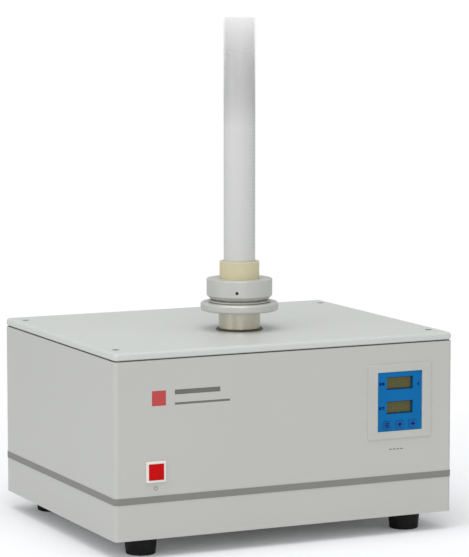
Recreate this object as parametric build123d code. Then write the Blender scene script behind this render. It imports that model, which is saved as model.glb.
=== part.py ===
from build123d import *

import math
import os

# A bench tester for the tapped density of powder: a measuring cylinder stands in a holder
# that a cam lifts a few millimetres and lets fall on the end of a guide column.
# Sizes are in millimetres. The origin is on the floor under the middle of the case,
# with +X to the right, -Y to the front and +Z up.

# Small corners, edges and clearances used in many places
CUTOUT_R = 0.5
MOULDED_R = 1.0
FULL_TURN_DEG = 360.0
TAP_SPARE = 1.0
SOCKET_SHARE = 0.8
TOUCH = 0.01

# Case
CASE_W = 352.0
CASE_D = 282.0
CASE_CORNER_R = 4.0
WALL_T = 3.0
FOOT_H = 18.0
TRAY_H = 34.0
TRAY_FLOOR_T = 3.0
LIP_T = 2.0
LIP_RISE = 16.0
CASE_FIT = 0.3
BAND_H = 6.2
BAND_PROUD = 0.4
SHELL_H = 126.3
SHELL_FLANGE_W = 20.0
SHELL_FLANGE_T = 2.5
SEAL_T = 1.1
SEAL_INSET = 1.8
SEAL_W = 8.0
LID_T = 7.0
LID_EDGE_R = 3.0
LID_UNDER_R = 1.5
LID_SCREW_INSET_X = 12.1
LID_SCREW_INSET_Y = 25.5
LID_SCREW_R = 2.0
LID_SCREW_HEAD_R = 3.4
LID_SCREW_HEAD_H = 2.6
LID_SCREW_SINK = 0.4
LID_SCREW_L = 18.0
EAR_W = 15.0
EAR_D = 12.0
EAR_H = 20.0

# Feet and the chassis that stands on the tray's bosses
FOOT_TOP_R = 15.6
FOOT_BOTTOM_R = 13.8
FOOT_INSET_X = 36.9
FOOT_INSET_Y = 27.5
FOOT_RECESS_R = 5.0
FOOT_RECESS_H = 11.0
FOOT_EDGE_R = 1.0
BOSS_R = 7.0
BOSS_H = 8.0
BASE_SCREW_R = 2.0
BASE_SCREW_HEAD_R = 3.6
BASE_SCREW_HEAD_H = 3.0
BASE_SCREW_GRIP = 4.5
FOOT_SCREW_GRIP = 0.5
HOLE_CLEARANCE = 0.05
CHASSIS_T = 3.0
CHASSIS_MARGIN = 14.0
CHASSIS_CORNER_R = 8.0

# Cam, roller and fork. The cam's radius grows with the turn, then falls back in a few degrees.
HOLDER_X = 0.0
HOLDER_Y = -34.0
TAP_LIFT = 3.0
CAM_AXIS_H = 43.0
CAM_BASE_R = 25.0
CAM_W = 10.0
CAM_RISE_DEG = 330.0
CAM_FALL_DEG = 15.0
CAM_HUB_R = 11.0
CAM_HUB_W = 4.0
CAM_OUTLINE_STEPS = 15
CAM_SHAFT_R = 6.0
CAM_SHAFT_RIGHT = 52.0
SHAFT_END_SPARE = 3.5
ROLLER_R = 11.0
ROLLER_W = 10.0
ROLLER_PIN_R = 3.0
ROLLER_PIN_SPARE = 0.4
ROLLER_GAP = 0.1
FORK_SIDE_GAP = 0.4
FORK_CHEEK_T = 5.0
FORK_CHEEK_R = 6.0
FORK_D = 18.0
FORK_SLOT_GAP = 2.0
FORK_HEAD_H = 8.0
TONGUE_W = 6.0
TONGUE_L = 18.0
RUNNING_FIT = 0.05
SLIDE_GAP = 0.1

# Lifting shaft, guide column and the bridge that carries them
LIFT_SHAFT_R = 8.0
LOWER_STUD_R = 5.0
LOWER_STUD_L = 6.0
UPPER_STUD_R = 6.0
UPPER_STUD_SPARE = 0.5
BUSH_T = 3.0
BUSH_L = 14.0
BUSH_SINK = 1.0
COLUMN_R = 20.1
COLUMN_RISE = 18.9
COLUMN_EDGE_R = 0.6
COLUMN_FLANGE_R = 32.0
COLUMN_FLANGE_T = 8.0
COLUMN_SPIGOT_R = 15.0
COLUMN_BORE_R = 9.0
COLUMN_SCREW_CIRCLE_R = 26.0
COLUMN_SCREW_R = 2.5
COLUMN_SCREW_HEAD_R = 4.2
COLUMN_SCREW_HEAD_H = 5.0
BRIDGE_W = 130.0
BRIDGE_D = 120.0
BRIDGE_T = 10.0
BRIDGE_CLEARANCE = 5.0
PILLAR_R = 7.0
PILLAR_INSET = 10.0
PILLAR_RIVET_R = 4.0
BRIDGE_SCREW_R = 3.0
BRIDGE_SCREW_HEAD_R = 5.0
BRIDGE_SCREW_HEAD_H = 4.0
BRIDGE_SCREW_GRIP = 12.0
STOP_W = 24.0
STOP_D = 10.0
STOP_GAP_Y = 6.0
STOP_DROP = 20.0
STOP_TOP_GAP = 1.0
GROMMET_R = 22.3
GROMMET_PROUD = 1.8
GROMMET_TOP_R = 21.6
GROMMET_LIP_R = 22.9
GROMMET_LIP_T = 0.5

# Holder and cylinder
PLATFORM_R = 37.7
PLATFORM_T = 8.1
PLATFORM_EDGE_R = 2.2
GROOVE_R = 27.2
GROOVE_H = 0.8
STEP_R = 29.8
STEP_H = 1.5
STEP_EDGE_T = 0.9
NECK_R = 24.5
NECK_H = 1.1
COLLAR_R = 31.8
COLLAR_H = 19.4
COLLAR_CHAMFER = 3.4
COLLAR_EDGE_R = 1.0
COLLAR_FLOOR_T = 3.0
SLEEVE_R = 19.25
SLEEVE_RISE = 16.8
SLEEVE_FLOOR_T = 3.0
SLEEVE_FIT = 0.05
SLEEVE_EDGE_R = 0.5
SET_SCREW_R = 1.5
SET_SCREW_TURN = 29.5
SET_SCREW_H = 8.0
SET_SCREW_SINK = 1.4
SET_SCREW_SOCKET_SHARE = 0.55
CYLINDER_R = 15.25
CYLINDER_WALL = 1.5
CYLINDER_FLOOR_T = 3.0
CYLINDER_LIP_R = 0.6
CYLINDER_RISE = 234.4
CYLINDER_FIT = 0.1

# Bearings, belt drive and motor
BLOCK_X = 30.0
BLOCK_T = 14.0
BLOCK_W = 46.0
BLOCK_FOOT_W = 66.0
BLOCK_FOOT_H = 8.0
BLOCK_OVER = 22.0
BLOCK_LIP_T = 2.0
BLOCK_SCREW_R = 2.0
BLOCK_SCREW_HEAD_R = 3.5
BLOCK_SCREW_HEAD_H = 3.0
BEARING_R = 16.0
BEARING_W = 10.0
BEARING_GROOVE_R = 1.2
BELT_X = -78.0
BELT_W = 9.0
BELT_T = 1.5
BELT_GAP = 0.1
CAM_PULLEY_R = 24.0
MOTOR_PULLEY_R = 12.0
PULLEY_FLANGE_T = 1.5
PULLEY_FLANGE_RISE = 3.0
PULLEY_SIDE_GAP = 0.5
MOTOR_SHAFT_R = 5.0
MOTOR_SHAFT_GRIP = 12.0
BRACKET_T = 4.0
BRACKET_MARGIN = 1.0
BRACKET_FOOT_L = 46.0
BRACKET_OVER = 35.0
BRACKET_BELT_GAP = 5.5
BRACKET_HOLE_R = 14.0
GEARBOX_SIDE = 70.0
GEARBOX_BRIDGE_GAP = 1.0
GEARBOX_L = 40.0
GEARBOX_EDGE_R = 5.0
MOTOR_CAN_R = 32.0
MOTOR_CAN_L = 60.0
MOTOR_CAP_R = 20.0
MOTOR_CAP_L = 4.0
FLAG_X = 44.0
FLAG_R = 20.0
FLAG_T = 1.5
FLAG_HUB_R = 10.0
FLAG_HUB_L = 6.0
FLAG_NOTCH_W = 6.0
FLAG_NOTCH_H = 8.0
SENSOR_W = 12.0
SENSOR_D = 16.0
SENSOR_SLOT_W = 4.0
SENSOR_GRASP = 5.0
SENSOR_FLOOR_GAP = 3.0

# Power supply, control board and their wires
SUPPLY_SIDE_GAP = 21.0
SUPPLY_REAR_GAP = 25.0
SUPPLY_W = 80.0
SUPPLY_D = 90.0
SUPPLY_H = 38.0
SUPPLY_EDGE_R = 2.0
SUPPLY_FIN_T = 2.0
SUPPLY_FIN_PITCH = 8.0
SUPPLY_FIN_DEPTH = 2.0
SUPPLY_FIN_COUNT = 7
SUPPLY_FIN_END = 10.0
STANDOFF_H = 6.0
STANDOFF_R = 3.0
STANDOFF_INSET = 6.0
BOARD_SIDE_GAP = 15.0
BOARD_FRONT_GAP = 30.0
BOARD_W = 60.0
BOARD_D = 70.0
BOARD_T = 1.6
BOARD_PLUG_W = 8.0
BOARD_PLUG_D = 10.0
BOARD_PLUG_H = 8.0
BOARD_CHIP = 14.0
BOARD_CHIP_H = 2.0
BOARD_CHIP_SHIFT = 14.0
WIRE_R = 2.0
WIRE_BEND_R = 8.0
WIRE_WALL_GAP = 10.0
WIRE_BRIDGE_GAP = 4.0
WIRE_MOTOR_RISE = 12.0
WIRE_LEAD = 24.0
WIRE_SHORT_LEAD = 16.0

# Rear panel, its screws and the mains inlet
REAR_WINDOW_SIDE = 30.0
REAR_WINDOW_RISE = 23.8
REAR_WINDOW_DROP = 14.5
REAR_OVERLAP = 10.0
REAR_PANEL_T = 2.0
REAR_SCREW_R = 1.5
REAR_SCREW_HEAD_R = 3.0
REAR_SCREW_HEAD_H = 2.4
REAR_SCREW_L = 9.0
VENT_W = 3.0
VENT_H = 44.0
VENT_PITCH = 8.0
VENT_COUNT = 9
VENT_INSET = 54.0
VENT_FLAT = 0.05
INLET_INSET = 38.0
INLET_BODY_W = 27.6
INLET_BODY_H = 34.0
INLET_BODY_DEPTH = 28.0
INLET_FLANGE_W = 50.0
INLET_FLANGE_H = 38.0
INLET_FLANGE_T = 2.5
INLET_CORNER_R = 3.0
INLET_FIT = 0.2
SOCKET_W = 24.6
SOCKET_H = 16.6
SOCKET_DEPTH = 16.0
SOCKET_RISE = 6.5
SOCKET_CUT = 4.5
PIN_T = 2.0
PIN_H = 4.0
PIN_SPREAD = 7.0
PIN_EARTH_RISE = 3.0
PIN_LINE_DROP = 1.0
PIN_TIP_SINK = 2.0
PIN_ROOT = 4.0
DRAWER_W = 20.0
DRAWER_H = 8.0
DRAWER_DEPTH = 22.0
DRAWER_DROP = 11.0
DRAWER_PULL_T = 2.0
DRAWER_PULL_H = 3.0
DRAWER_GAP = 0.2
FUSE_ROOM_W = 16.0
FUSE_ROOM_H = 5.0
FUSE_ROOM_WALL = 2.0

# Power button at the lower left of the front
SWITCH_INSET = 40.5
SWITCH_RISE = 22.7
SWITCH_BEZEL_W = 19.6
SWITCH_BEZEL_PROUD = 2.0
SWITCH_BEZEL_R = 1.0
SWITCH_BEZEL_CHAMFER = 0.5
SWITCH_BODY_W = 17.0
SWITCH_BODY_DEPTH = 30.0
SWITCH_FIT = 0.2
BUTTON_W = 14.9
BUTTON_GAP = 0.2
BUTTON_PROUD = 2.4
BUTTON_L = 15.0
BUTTON_TRAVEL = 2.0
BUTTON_EDGE_R = 0.6
BUTTON_FACE_R = 0.45

# Counter at the right of the front
COUNTER_INSET = 57.3
COUNTER_DROP = 55.0
COUNTER_FACE_W = 47.7
COUNTER_FACE_H = 57.0
COUNTER_FACE_T = 2.6
COUNTER_FACE_PROUD = 0.6
COUNTER_BEZEL_W = 68.2
COUNTER_BEZEL_H = 72.4
COUNTER_BEZEL_PROUD = 1.2
COUNTER_BEZEL_R = 1.5
COUNTER_BEZEL_EDGE_R = 1.0
COUNTER_FIT = 0.15
COUNTER_DEPTH = 58.0
COUNTER_WALL = 1.5
DISPLAY_W = 28.6
DISPLAY_H = 12.4
DISPLAY_RIM = 1.2
DISPLAY_T = 2.0
DISPLAY_UPPER_RISE = 17.5
DISPLAY_LOWER_DROP = 5.9
KEY_W = 8.0
KEY_H = 7.0
KEY_PITCH = 14.0
KEY_DROP = 22.5
KEY_PROUD = 0.7
KEY_RIM = 0.7
KEY_RIM_T = 1.0
KEY_GAP = 0.15
KEY_EDGE_R = 0.3

# Heights and places that follow from the sizes above
TRAY_WALL_T = WALL_T + CASE_FIT + LIP_T
BAND_Z0 = FOOT_H + TRAY_H
SHELL_Z0 = BAND_Z0 + BAND_H
SHELL_TOP = SHELL_Z0 + SHELL_H
LID_Z0 = SHELL_TOP + SEAL_T
LID_TOP = LID_Z0 + LID_T
TRAY_FLOOR_TOP = FOOT_H + TRAY_FLOOR_T
CHASSIS_Z0 = TRAY_FLOOR_TOP + BOSS_H
CHASSIS_TOP = CHASSIS_Z0 + CHASSIS_T
CAM_Z = CHASSIS_TOP + CAM_AXIS_H
ROLLER_Z = CAM_Z + CAM_BASE_R + ROLLER_GAP + ROLLER_R
FORK_HEAD_Z0 = ROLLER_Z + ROLLER_R + FORK_SLOT_GAP
FORK_TOP = FORK_HEAD_Z0 + FORK_HEAD_H
BRIDGE_Z0 = FORK_TOP + TAP_LIFT + BRIDGE_CLEARANCE
BRIDGE_TOP = BRIDGE_Z0 + BRIDGE_T
COLUMN_TOP = LID_TOP + COLUMN_RISE
PLATFORM_TOP = COLUMN_TOP + PLATFORM_T
STEP_Z0 = PLATFORM_TOP + GROOVE_H
NECK_Z0 = STEP_Z0 + STEP_H
COLLAR_Z0 = NECK_Z0 + NECK_H
COLLAR_TOP = COLLAR_Z0 + COLLAR_H
SLEEVE_Z0 = COLLAR_Z0 + COLLAR_FLOOR_T
SLEEVE_TOP = COLLAR_TOP + SLEEVE_RISE
CYLINDER_Z0 = SLEEVE_Z0 + SLEEVE_FLOOR_T
CYLINDER_TOP = SLEEVE_TOP + CYLINDER_RISE
FRONT_Y = -CASE_D / 2
REAR_Y = CASE_D / 2
PANEL_Y0 = REAR_Y - WALL_T - REAR_PANEL_T
PANEL_Y1 = REAR_Y - WALL_T
WINDOW_Z0 = SHELL_Z0 + REAR_WINDOW_RISE
WINDOW_Z1 = SHELL_TOP - REAR_WINDOW_DROP
REAR_WINDOW_W = CASE_W - 2 * REAR_WINDOW_SIDE
INLET_X = REAR_WINDOW_W / 2 - INLET_INSET
INLET_Z = (WINDOW_Z0 + WINDOW_Z1) / 2
VENT_X = VENT_INSET - REAR_WINDOW_W / 2
MOTOR_Y = HOLDER_Y + BRIDGE_D / 2 + GEARBOX_BRIDGE_GAP + GEARBOX_SIDE / 2
BELT_CENTRES = MOTOR_Y - HOLDER_Y
PULLEY_HALF_W = BELT_W / 2 + PULLEY_SIDE_GAP
PULLEY_OUT_HALF_W = PULLEY_HALF_W + PULLEY_FLANGE_T
SHAFT_LEFT = BELT_X - PULLEY_OUT_HALF_W - SHAFT_END_SPARE
BRACKET_X0 = BELT_X + PULLEY_OUT_HALF_W + BRACKET_BELT_GAP
GEARBOX_X0 = BRACKET_X0 + BRACKET_T
GEARBOX_X1 = GEARBOX_X0 + GEARBOX_L
MOTOR_CAN_X1 = GEARBOX_X1 + MOTOR_CAN_L
MOTOR_X1 = MOTOR_CAN_X1 + MOTOR_CAP_L
FORK_HALF_W = ROLLER_W / 2 + FORK_SIDE_GAP + FORK_CHEEK_T
FORK_REAR_Y = HOLDER_Y + FORK_D / 2
SUPPLY_X = CASE_W / 2 - SUPPLY_SIDE_GAP - SUPPLY_W / 2
SUPPLY_REAR_Y = REAR_Y - SUPPLY_REAR_GAP
SUPPLY_FRONT_Y = SUPPLY_REAR_Y - SUPPLY_D
SUPPLY_Y = (SUPPLY_FRONT_Y + SUPPLY_REAR_Y) / 2
SUPPLY_Z0 = CHASSIS_TOP + STANDOFF_H
SUPPLY_TOP = SUPPLY_Z0 + SUPPLY_H
BOARD_X = CASE_W / 2 - BOARD_SIDE_GAP - BOARD_W / 2
BOARD_FRONT_Y = FRONT_Y + BOARD_FRONT_GAP
BOARD_REAR_Y = BOARD_FRONT_Y + BOARD_D
BOARD_Y = (BOARD_FRONT_Y + BOARD_REAR_Y) / 2
BOARD_Z0 = CHASSIS_TOP + STANDOFF_H
BOARD_TOP = BOARD_Z0 + BOARD_T
COUNTER_X = CASE_W / 2 - COUNTER_INSET
COUNTER_Z = SHELL_TOP - COUNTER_DROP
FACE_FRONT_Y = FRONT_Y - COUNTER_FACE_PROUD
FACE_BACK_Y = FACE_FRONT_Y + COUNTER_FACE_T
COUNTER_BACK_Y = FACE_BACK_Y + COUNTER_DEPTH
SWITCH_X = SWITCH_INSET - CASE_W / 2
SWITCH_Z = SHELL_Z0 + SWITCH_RISE
SWITCH_BACK_Y = FRONT_Y + SWITCH_BODY_DEPTH
INLET_BACK_Y = PANEL_Y1 - INLET_BODY_DEPTH
SOCKET_Z = INLET_Z + SOCKET_RISE
DRAWER_Z = INLET_Z - DRAWER_DROP
MOTOR_PLUG_X = BOARD_X + BOARD_W / 2 - BOARD_PLUG_W / 2
MOTOR_PLUG_Y = BOARD_REAR_Y - BOARD_PLUG_D / 2
MOTOR_WIRE_X = HOLDER_X + BRIDGE_W / 2 + WIRE_BRIDGE_GAP
MOTOR_WIRE_Z = CAM_Z + WIRE_MOTOR_RISE
COUNTER_WIRE_Y = COUNTER_BACK_Y + WIRE_SHORT_LEAD
PLUG_TOP = BOARD_TOP + BOARD_PLUG_H
PLUG_WIRE_Z = BOARD_TOP + BOARD_PLUG_H / 2
SUPPLY_WIRE_Z = SUPPLY_Z0 + SUPPLY_H / 2


def block(x0, x1, y0, y1, z0, z1):
    """A box between two opposite corners."""
    return Pos((x0 + x1) / 2, (y0 + y1) / 2, (z0 + z1) / 2) * Box(x1 - x0, y1 - y0, z1 - z0)


def upright(x, y, z0, z1, radius):
    """A vertical cylinder."""
    return Pos(x, y, (z0 + z1) / 2) * Cylinder(radius, z1 - z0)


def along_x(x0, x1, y, z, radius):
    """A cylinder along X."""
    return Pos((x0 + x1) / 2, y, z) * Rot(0, 90, 0) * Cylinder(radius, x1 - x0)


def along_y(x, y0, y1, z, radius):
    """A cylinder along Y."""
    return Pos(x, (y0 + y1) / 2, z) * Rot(90, 0, 0) * Cylinder(radius, y1 - y0)


def rounded_block(width, depth, radius, z0, z1):
    """An upright block about the origin, with rounded vertical corners."""
    return Pos(0, 0, z0) * extrude(RectangleRounded(width, depth, radius), z1 - z0)


def panel_block(x, z, width, height, radius, y0, y1):
    """A block whose rounded outline faces the front, between two planes across Y."""
    front = Plane(origin=(x, y1, z), x_dir=(1, 0, 0), z_dir=(0, -1, 0))
    outline = front * RectangleRounded(width, height, radius)
    return extrude(outline, y1 - y0)


def turned(points, x=0.0, y=0.0):
    """A solid turned about a vertical axis from its outline of radius and height."""
    face = make_face(Plane.XZ * Polyline(*points, close=True))
    return Pos(x, y, 0) * revolve(face, Axis.Z)


def group(pieces):
    """Separate solids kept together in one node."""
    return Part() + list(pieces)


def corners(half_x, half_y, x=0.0, y=0.0):
    """The four corners of a rectangle."""
    return [(x + sx * half_x, y + sy * half_y) for sx in (-1, 1) for sy in (-1, 1)]


def screw(radius, length, head_r, head_h):
    """A socket screw along Z: the shank below the origin, the head above it."""
    shank = upright(0, 0, -length, 0, radius)
    head = upright(0, 0, 0, head_h, head_r)
    socket = upright(0, 0, head_h / 2, head_h, radius * SOCKET_SHARE)
    return shank + head - socket


FOOT_PLACES = corners(CASE_W / 2 - FOOT_INSET_X, CASE_D / 2 - FOOT_INSET_Y)
LID_SCREW_PLACES = corners(CASE_W / 2 - LID_SCREW_INSET_X, CASE_D / 2 - LID_SCREW_INSET_Y)
PILLAR_PLACES = corners(BRIDGE_W / 2 - PILLAR_INSET, BRIDGE_D / 2 - PILLAR_INSET, HOLDER_X, HOLDER_Y)
COLUMN_SCREW_HALF = COLUMN_SCREW_CIRCLE_R / math.sqrt(2)
COLUMN_SCREW_PLACES = corners(COLUMN_SCREW_HALF, COLUMN_SCREW_HALF, HOLDER_X, HOLDER_Y)
BLOCK_SCREW_REACH = (BLOCK_W + BLOCK_FOOT_W) / 4
BLOCK_SCREW_PLACES = corners(BLOCK_X, BLOCK_SCREW_REACH, HOLDER_X, HOLDER_Y)
REAR_SCREW_X = REAR_WINDOW_W / 2 + REAR_OVERLAP / 2
REAR_SCREW_PLACES = [
    (side * REAR_SCREW_X, z)
    for side in (-1, 0, 1)
    for z in (WINDOW_Z0 - REAR_OVERLAP / 2, WINDOW_Z1 + REAR_OVERLAP / 2)
]


def base_tray():
    """The open tray under the case, with a lip that the shell slips over and a boss at each foot."""
    inner_w = CASE_W - 2 * TRAY_WALL_T
    inner_d = CASE_D - 2 * TRAY_WALL_T
    lip_w = inner_w + 2 * LIP_T
    lip_d = inner_d + 2 * LIP_T
    body = rounded_block(CASE_W, CASE_D, CASE_CORNER_R, FOOT_H, BAND_Z0)
    body += rounded_block(lip_w, lip_d, LIP_T + MOULDED_R, BAND_Z0, BAND_Z0 + LIP_RISE)
    body -= rounded_block(inner_w, inner_d, MOULDED_R, TRAY_FLOOR_TOP, BAND_Z0 + LIP_RISE)
    for x, y in FOOT_PLACES:
        body += upright(x, y, TRAY_FLOOR_TOP, CHASSIS_Z0, BOSS_R)
        body -= upright(x, y, FOOT_H, CHASSIS_Z0, BASE_SCREW_R + HOLE_CLEARANCE)
    return body


def trim_band():
    """The darker band round the case between tray and shell, a little proud of both."""
    width = CASE_W + 2 * BAND_PROUD
    depth = CASE_D + 2 * BAND_PROUD
    band = rounded_block(width, depth, CASE_CORNER_R + BAND_PROUD, BAND_Z0, SHELL_Z0)
    inner_r = CASE_CORNER_R - WALL_T
    return band - rounded_block(CASE_W - 2 * WALL_T, CASE_D - 2 * WALL_T, inner_r, BAND_Z0, SHELL_Z0)


def body_shell():
    """The upper wall of the case, open below, with a flange on top and its front and rear openings."""
    inner_r = CASE_CORNER_R - WALL_T
    inner_w = CASE_W - 2 * WALL_T
    inner_d = CASE_D - 2 * WALL_T
    shell = rounded_block(CASE_W, CASE_D, CASE_CORNER_R, SHELL_Z0, SHELL_TOP)
    shell -= rounded_block(inner_w, inner_d, inner_r, SHELL_Z0, SHELL_TOP - SHELL_FLANGE_T)
    open_w = CASE_W - 2 * SHELL_FLANGE_W
    open_d = CASE_D - 2 * SHELL_FLANGE_W
    shell -= rounded_block(open_w, open_d, CASE_CORNER_R, SHELL_TOP - SHELL_FLANGE_T, SHELL_TOP)
    for x, y in LID_SCREW_PLACES:
        side = math.copysign(1, x)
        wall_x = side * inner_w / 2
        near_x = wall_x - side * EAR_W
        ear = block(min(wall_x, near_x), max(wall_x, near_x), y - EAR_D / 2, y + EAR_D / 2,
                    SHELL_TOP - EAR_H, SHELL_TOP)
        shell += ear
        shell -= upright(x, y, SHELL_TOP - EAR_H, SHELL_TOP, LID_SCREW_R + HOLE_CLEARANCE)
    shell -= block(-REAR_WINDOW_W / 2, REAR_WINDOW_W / 2, REAR_Y - WALL_T, REAR_Y, WINDOW_Z0, WINDOW_Z1)
    for x, z in REAR_SCREW_PLACES:
        shell -= along_y(x, REAR_Y - WALL_T, REAR_Y, z, REAR_SCREW_R + HOLE_CLEARANCE)
    cut_w = COUNTER_FACE_W + 2 * COUNTER_FIT
    cut_h = COUNTER_FACE_H + 2 * COUNTER_FIT
    shell -= panel_block(COUNTER_X, COUNTER_Z, cut_w, cut_h, CUTOUT_R, FRONT_Y, FRONT_Y + WALL_T)
    cut = SWITCH_BODY_W + 2 * SWITCH_FIT
    shell -= panel_block(SWITCH_X, SWITCH_Z, cut, cut, CUTOUT_R, FRONT_Y, FRONT_Y + WALL_T)
    return shell


def lid_seal():
    """The thin dark gasket under the lid."""
    outer_w = CASE_W - 2 * SEAL_INSET
    outer_d = CASE_D - 2 * SEAL_INSET
    ring = rounded_block(outer_w, outer_d, CASE_CORNER_R - SEAL_INSET, SHELL_TOP, LID_Z0)
    inner_w = outer_w - 2 * SEAL_W
    inner_d = outer_d - 2 * SEAL_W
    return ring - rounded_block(inner_w, inner_d, MOULDED_R, SHELL_TOP, LID_Z0)


def lid_plate():
    """The thick top plate with rounded edges, a hole for the guide column and four sunk screws."""
    plate = rounded_block(CASE_W, CASE_D, CASE_CORNER_R, LID_Z0, LID_TOP)
    plate = fillet(plate.edges().group_by(Axis.Z)[-1], LID_EDGE_R)
    plate = fillet(plate.edges().group_by(Axis.Z)[0], LID_UNDER_R)
    plate -= upright(HOLDER_X, HOLDER_Y, LID_Z0, LID_TOP, GROMMET_R + HOLE_CLEARANCE)
    for x, y in LID_SCREW_PLACES:
        plate -= upright(x, y, LID_Z0, LID_TOP, LID_SCREW_R + HOLE_CLEARANCE)
        seat = LID_TOP - LID_SCREW_HEAD_H - LID_SCREW_SINK
        plate -= upright(x, y, seat, LID_TOP, LID_SCREW_HEAD_R + CASE_FIT)
    return plate


def lid_screws():
    """The four screws that hold the lid."""
    seat = LID_TOP - LID_SCREW_HEAD_H - LID_SCREW_SINK
    one = screw(LID_SCREW_R, LID_SCREW_L, LID_SCREW_HEAD_R, LID_SCREW_HEAD_H)
    return group(Pos(x, y, seat) * one for x, y in LID_SCREW_PLACES)


def lid_grommet():
    """The dark ring that closes the gap between the lid and the guide column."""
    inner = COLUMN_R + HOLE_CLEARANCE
    top = LID_TOP + GROMMET_PROUD
    ring = turned([
        (inner, LID_Z0), (GROMMET_R, LID_Z0), (GROMMET_R, LID_TOP), (GROMMET_LIP_R, LID_TOP),
        (GROMMET_LIP_R, LID_TOP + GROMMET_LIP_T), (GROMMET_TOP_R, top), (inner, top),
    ], HOLDER_X, HOLDER_Y)
    return ring


def foot(x, y):
    """A tapered rubber foot with a recess for its screw."""
    shape = turned([(0, 0), (FOOT_BOTTOM_R, 0), (FOOT_TOP_R, FOOT_H), (0, FOOT_H)], x, y)
    shape = fillet(shape.edges().group_by(Axis.Z)[0], FOOT_EDGE_R)
    shape -= upright(x, y, 0, FOOT_RECESS_H, FOOT_RECESS_R)
    return shape - upright(x, y, FOOT_RECESS_H, FOOT_H, BASE_SCREW_R + HOLE_CLEARANCE)


def foot_screws():
    """The screws that hold the feet, driven from below."""
    length = FOOT_H - FOOT_RECESS_H + TRAY_FLOOR_T + FOOT_SCREW_GRIP
    one = Rot(180, 0, 0) * screw(BASE_SCREW_R, length, BASE_SCREW_HEAD_R, BASE_SCREW_HEAD_H)
    return group(Pos(x, y, FOOT_RECESS_H) * one for x, y in FOOT_PLACES)


def chassis_plate():
    """The steel plate that carries the mechanism, screwed on the tray's bosses."""
    width = CASE_W - 2 * (TRAY_WALL_T + CHASSIS_MARGIN)
    depth = CASE_D - 2 * (TRAY_WALL_T + CHASSIS_MARGIN)
    plate = rounded_block(width, depth, CHASSIS_CORNER_R, CHASSIS_Z0, CHASSIS_TOP)
    for x, y in FOOT_PLACES:
        plate -= upright(x, y, CHASSIS_Z0, CHASSIS_TOP, BASE_SCREW_R + HOLE_CLEARANCE)
    for x, y in PILLAR_PLACES:
        plate -= upright(x, y, CHASSIS_Z0, CHASSIS_TOP, PILLAR_RIVET_R + HOLE_CLEARANCE)
    for x, y in BLOCK_SCREW_PLACES:
        plate -= upright(x, y, CHASSIS_Z0, CHASSIS_TOP, BLOCK_SCREW_R + HOLE_CLEARANCE)
    return plate


def chassis_screws():
    """The screws that hold the chassis plate on the bosses and the bearing blocks on the plate."""
    plate_screw = screw(BASE_SCREW_R, CHASSIS_T + BASE_SCREW_GRIP, BASE_SCREW_HEAD_R, BASE_SCREW_HEAD_H)
    pieces = [Pos(x, y, CHASSIS_TOP) * plate_screw for x, y in FOOT_PLACES]
    length = BLOCK_FOOT_H + CHASSIS_T
    block_screw = screw(BLOCK_SCREW_R, length, BLOCK_SCREW_HEAD_R, BLOCK_SCREW_HEAD_H)
    pieces += [Pos(x, y, CHASSIS_TOP + BLOCK_FOOT_H) * block_screw for x, y in BLOCK_SCREW_PLACES]
    return group(pieces)


def bridge_pillars():
    """The four pillars between chassis and bridge, riveted at the foot and tapped at the top."""
    pieces = []
    for x, y in PILLAR_PLACES:
        pillar = upright(x, y, CHASSIS_TOP, BRIDGE_Z0, PILLAR_R)
        pillar += upright(x, y, CHASSIS_Z0, CHASSIS_TOP, PILLAR_RIVET_R)
        tapped = BRIDGE_SCREW_GRIP + TAP_SPARE
        pillar -= upright(x, y, BRIDGE_Z0 - tapped, BRIDGE_Z0, BRIDGE_SCREW_R + HOLE_CLEARANCE)
        pieces.append(pillar)
    return group(pieces)


def bridge_plate():
    """The thick plate over the cam, bored for the guide column."""
    plate = block(HOLDER_X - BRIDGE_W / 2, HOLDER_X + BRIDGE_W / 2,
                  HOLDER_Y - BRIDGE_D / 2, HOLDER_Y + BRIDGE_D / 2, BRIDGE_Z0, BRIDGE_TOP)
    plate -= upright(HOLDER_X, HOLDER_Y, BRIDGE_Z0, BRIDGE_TOP, COLUMN_SPIGOT_R + HOLE_CLEARANCE)
    for x, y in PILLAR_PLACES:
        plate -= upright(x, y, BRIDGE_Z0, BRIDGE_TOP, BRIDGE_SCREW_R + HOLE_CLEARANCE)
    for x, y in COLUMN_SCREW_PLACES:
        plate -= upright(x, y, BRIDGE_Z0, BRIDGE_TOP, COLUMN_SCREW_R + HOLE_CLEARANCE)
    return plate


def bridge_screws():
    """The screws from the bridge into its pillars and from the column's flange into the bridge."""
    length = BRIDGE_T + BRIDGE_SCREW_GRIP
    pillar_screw = screw(BRIDGE_SCREW_R, length, BRIDGE_SCREW_HEAD_R, BRIDGE_SCREW_HEAD_H)
    pieces = [Pos(x, y, BRIDGE_TOP) * pillar_screw for x, y in PILLAR_PLACES]
    length = COLUMN_FLANGE_T + BRIDGE_T
    flange_screw = screw(COLUMN_SCREW_R, length, COLUMN_SCREW_HEAD_R, COLUMN_SCREW_HEAD_H)
    pieces += [Pos(x, y, BRIDGE_TOP + COLUMN_FLANGE_T) * flange_screw for x, y in COLUMN_SCREW_PLACES]
    return group(pieces)


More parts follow.
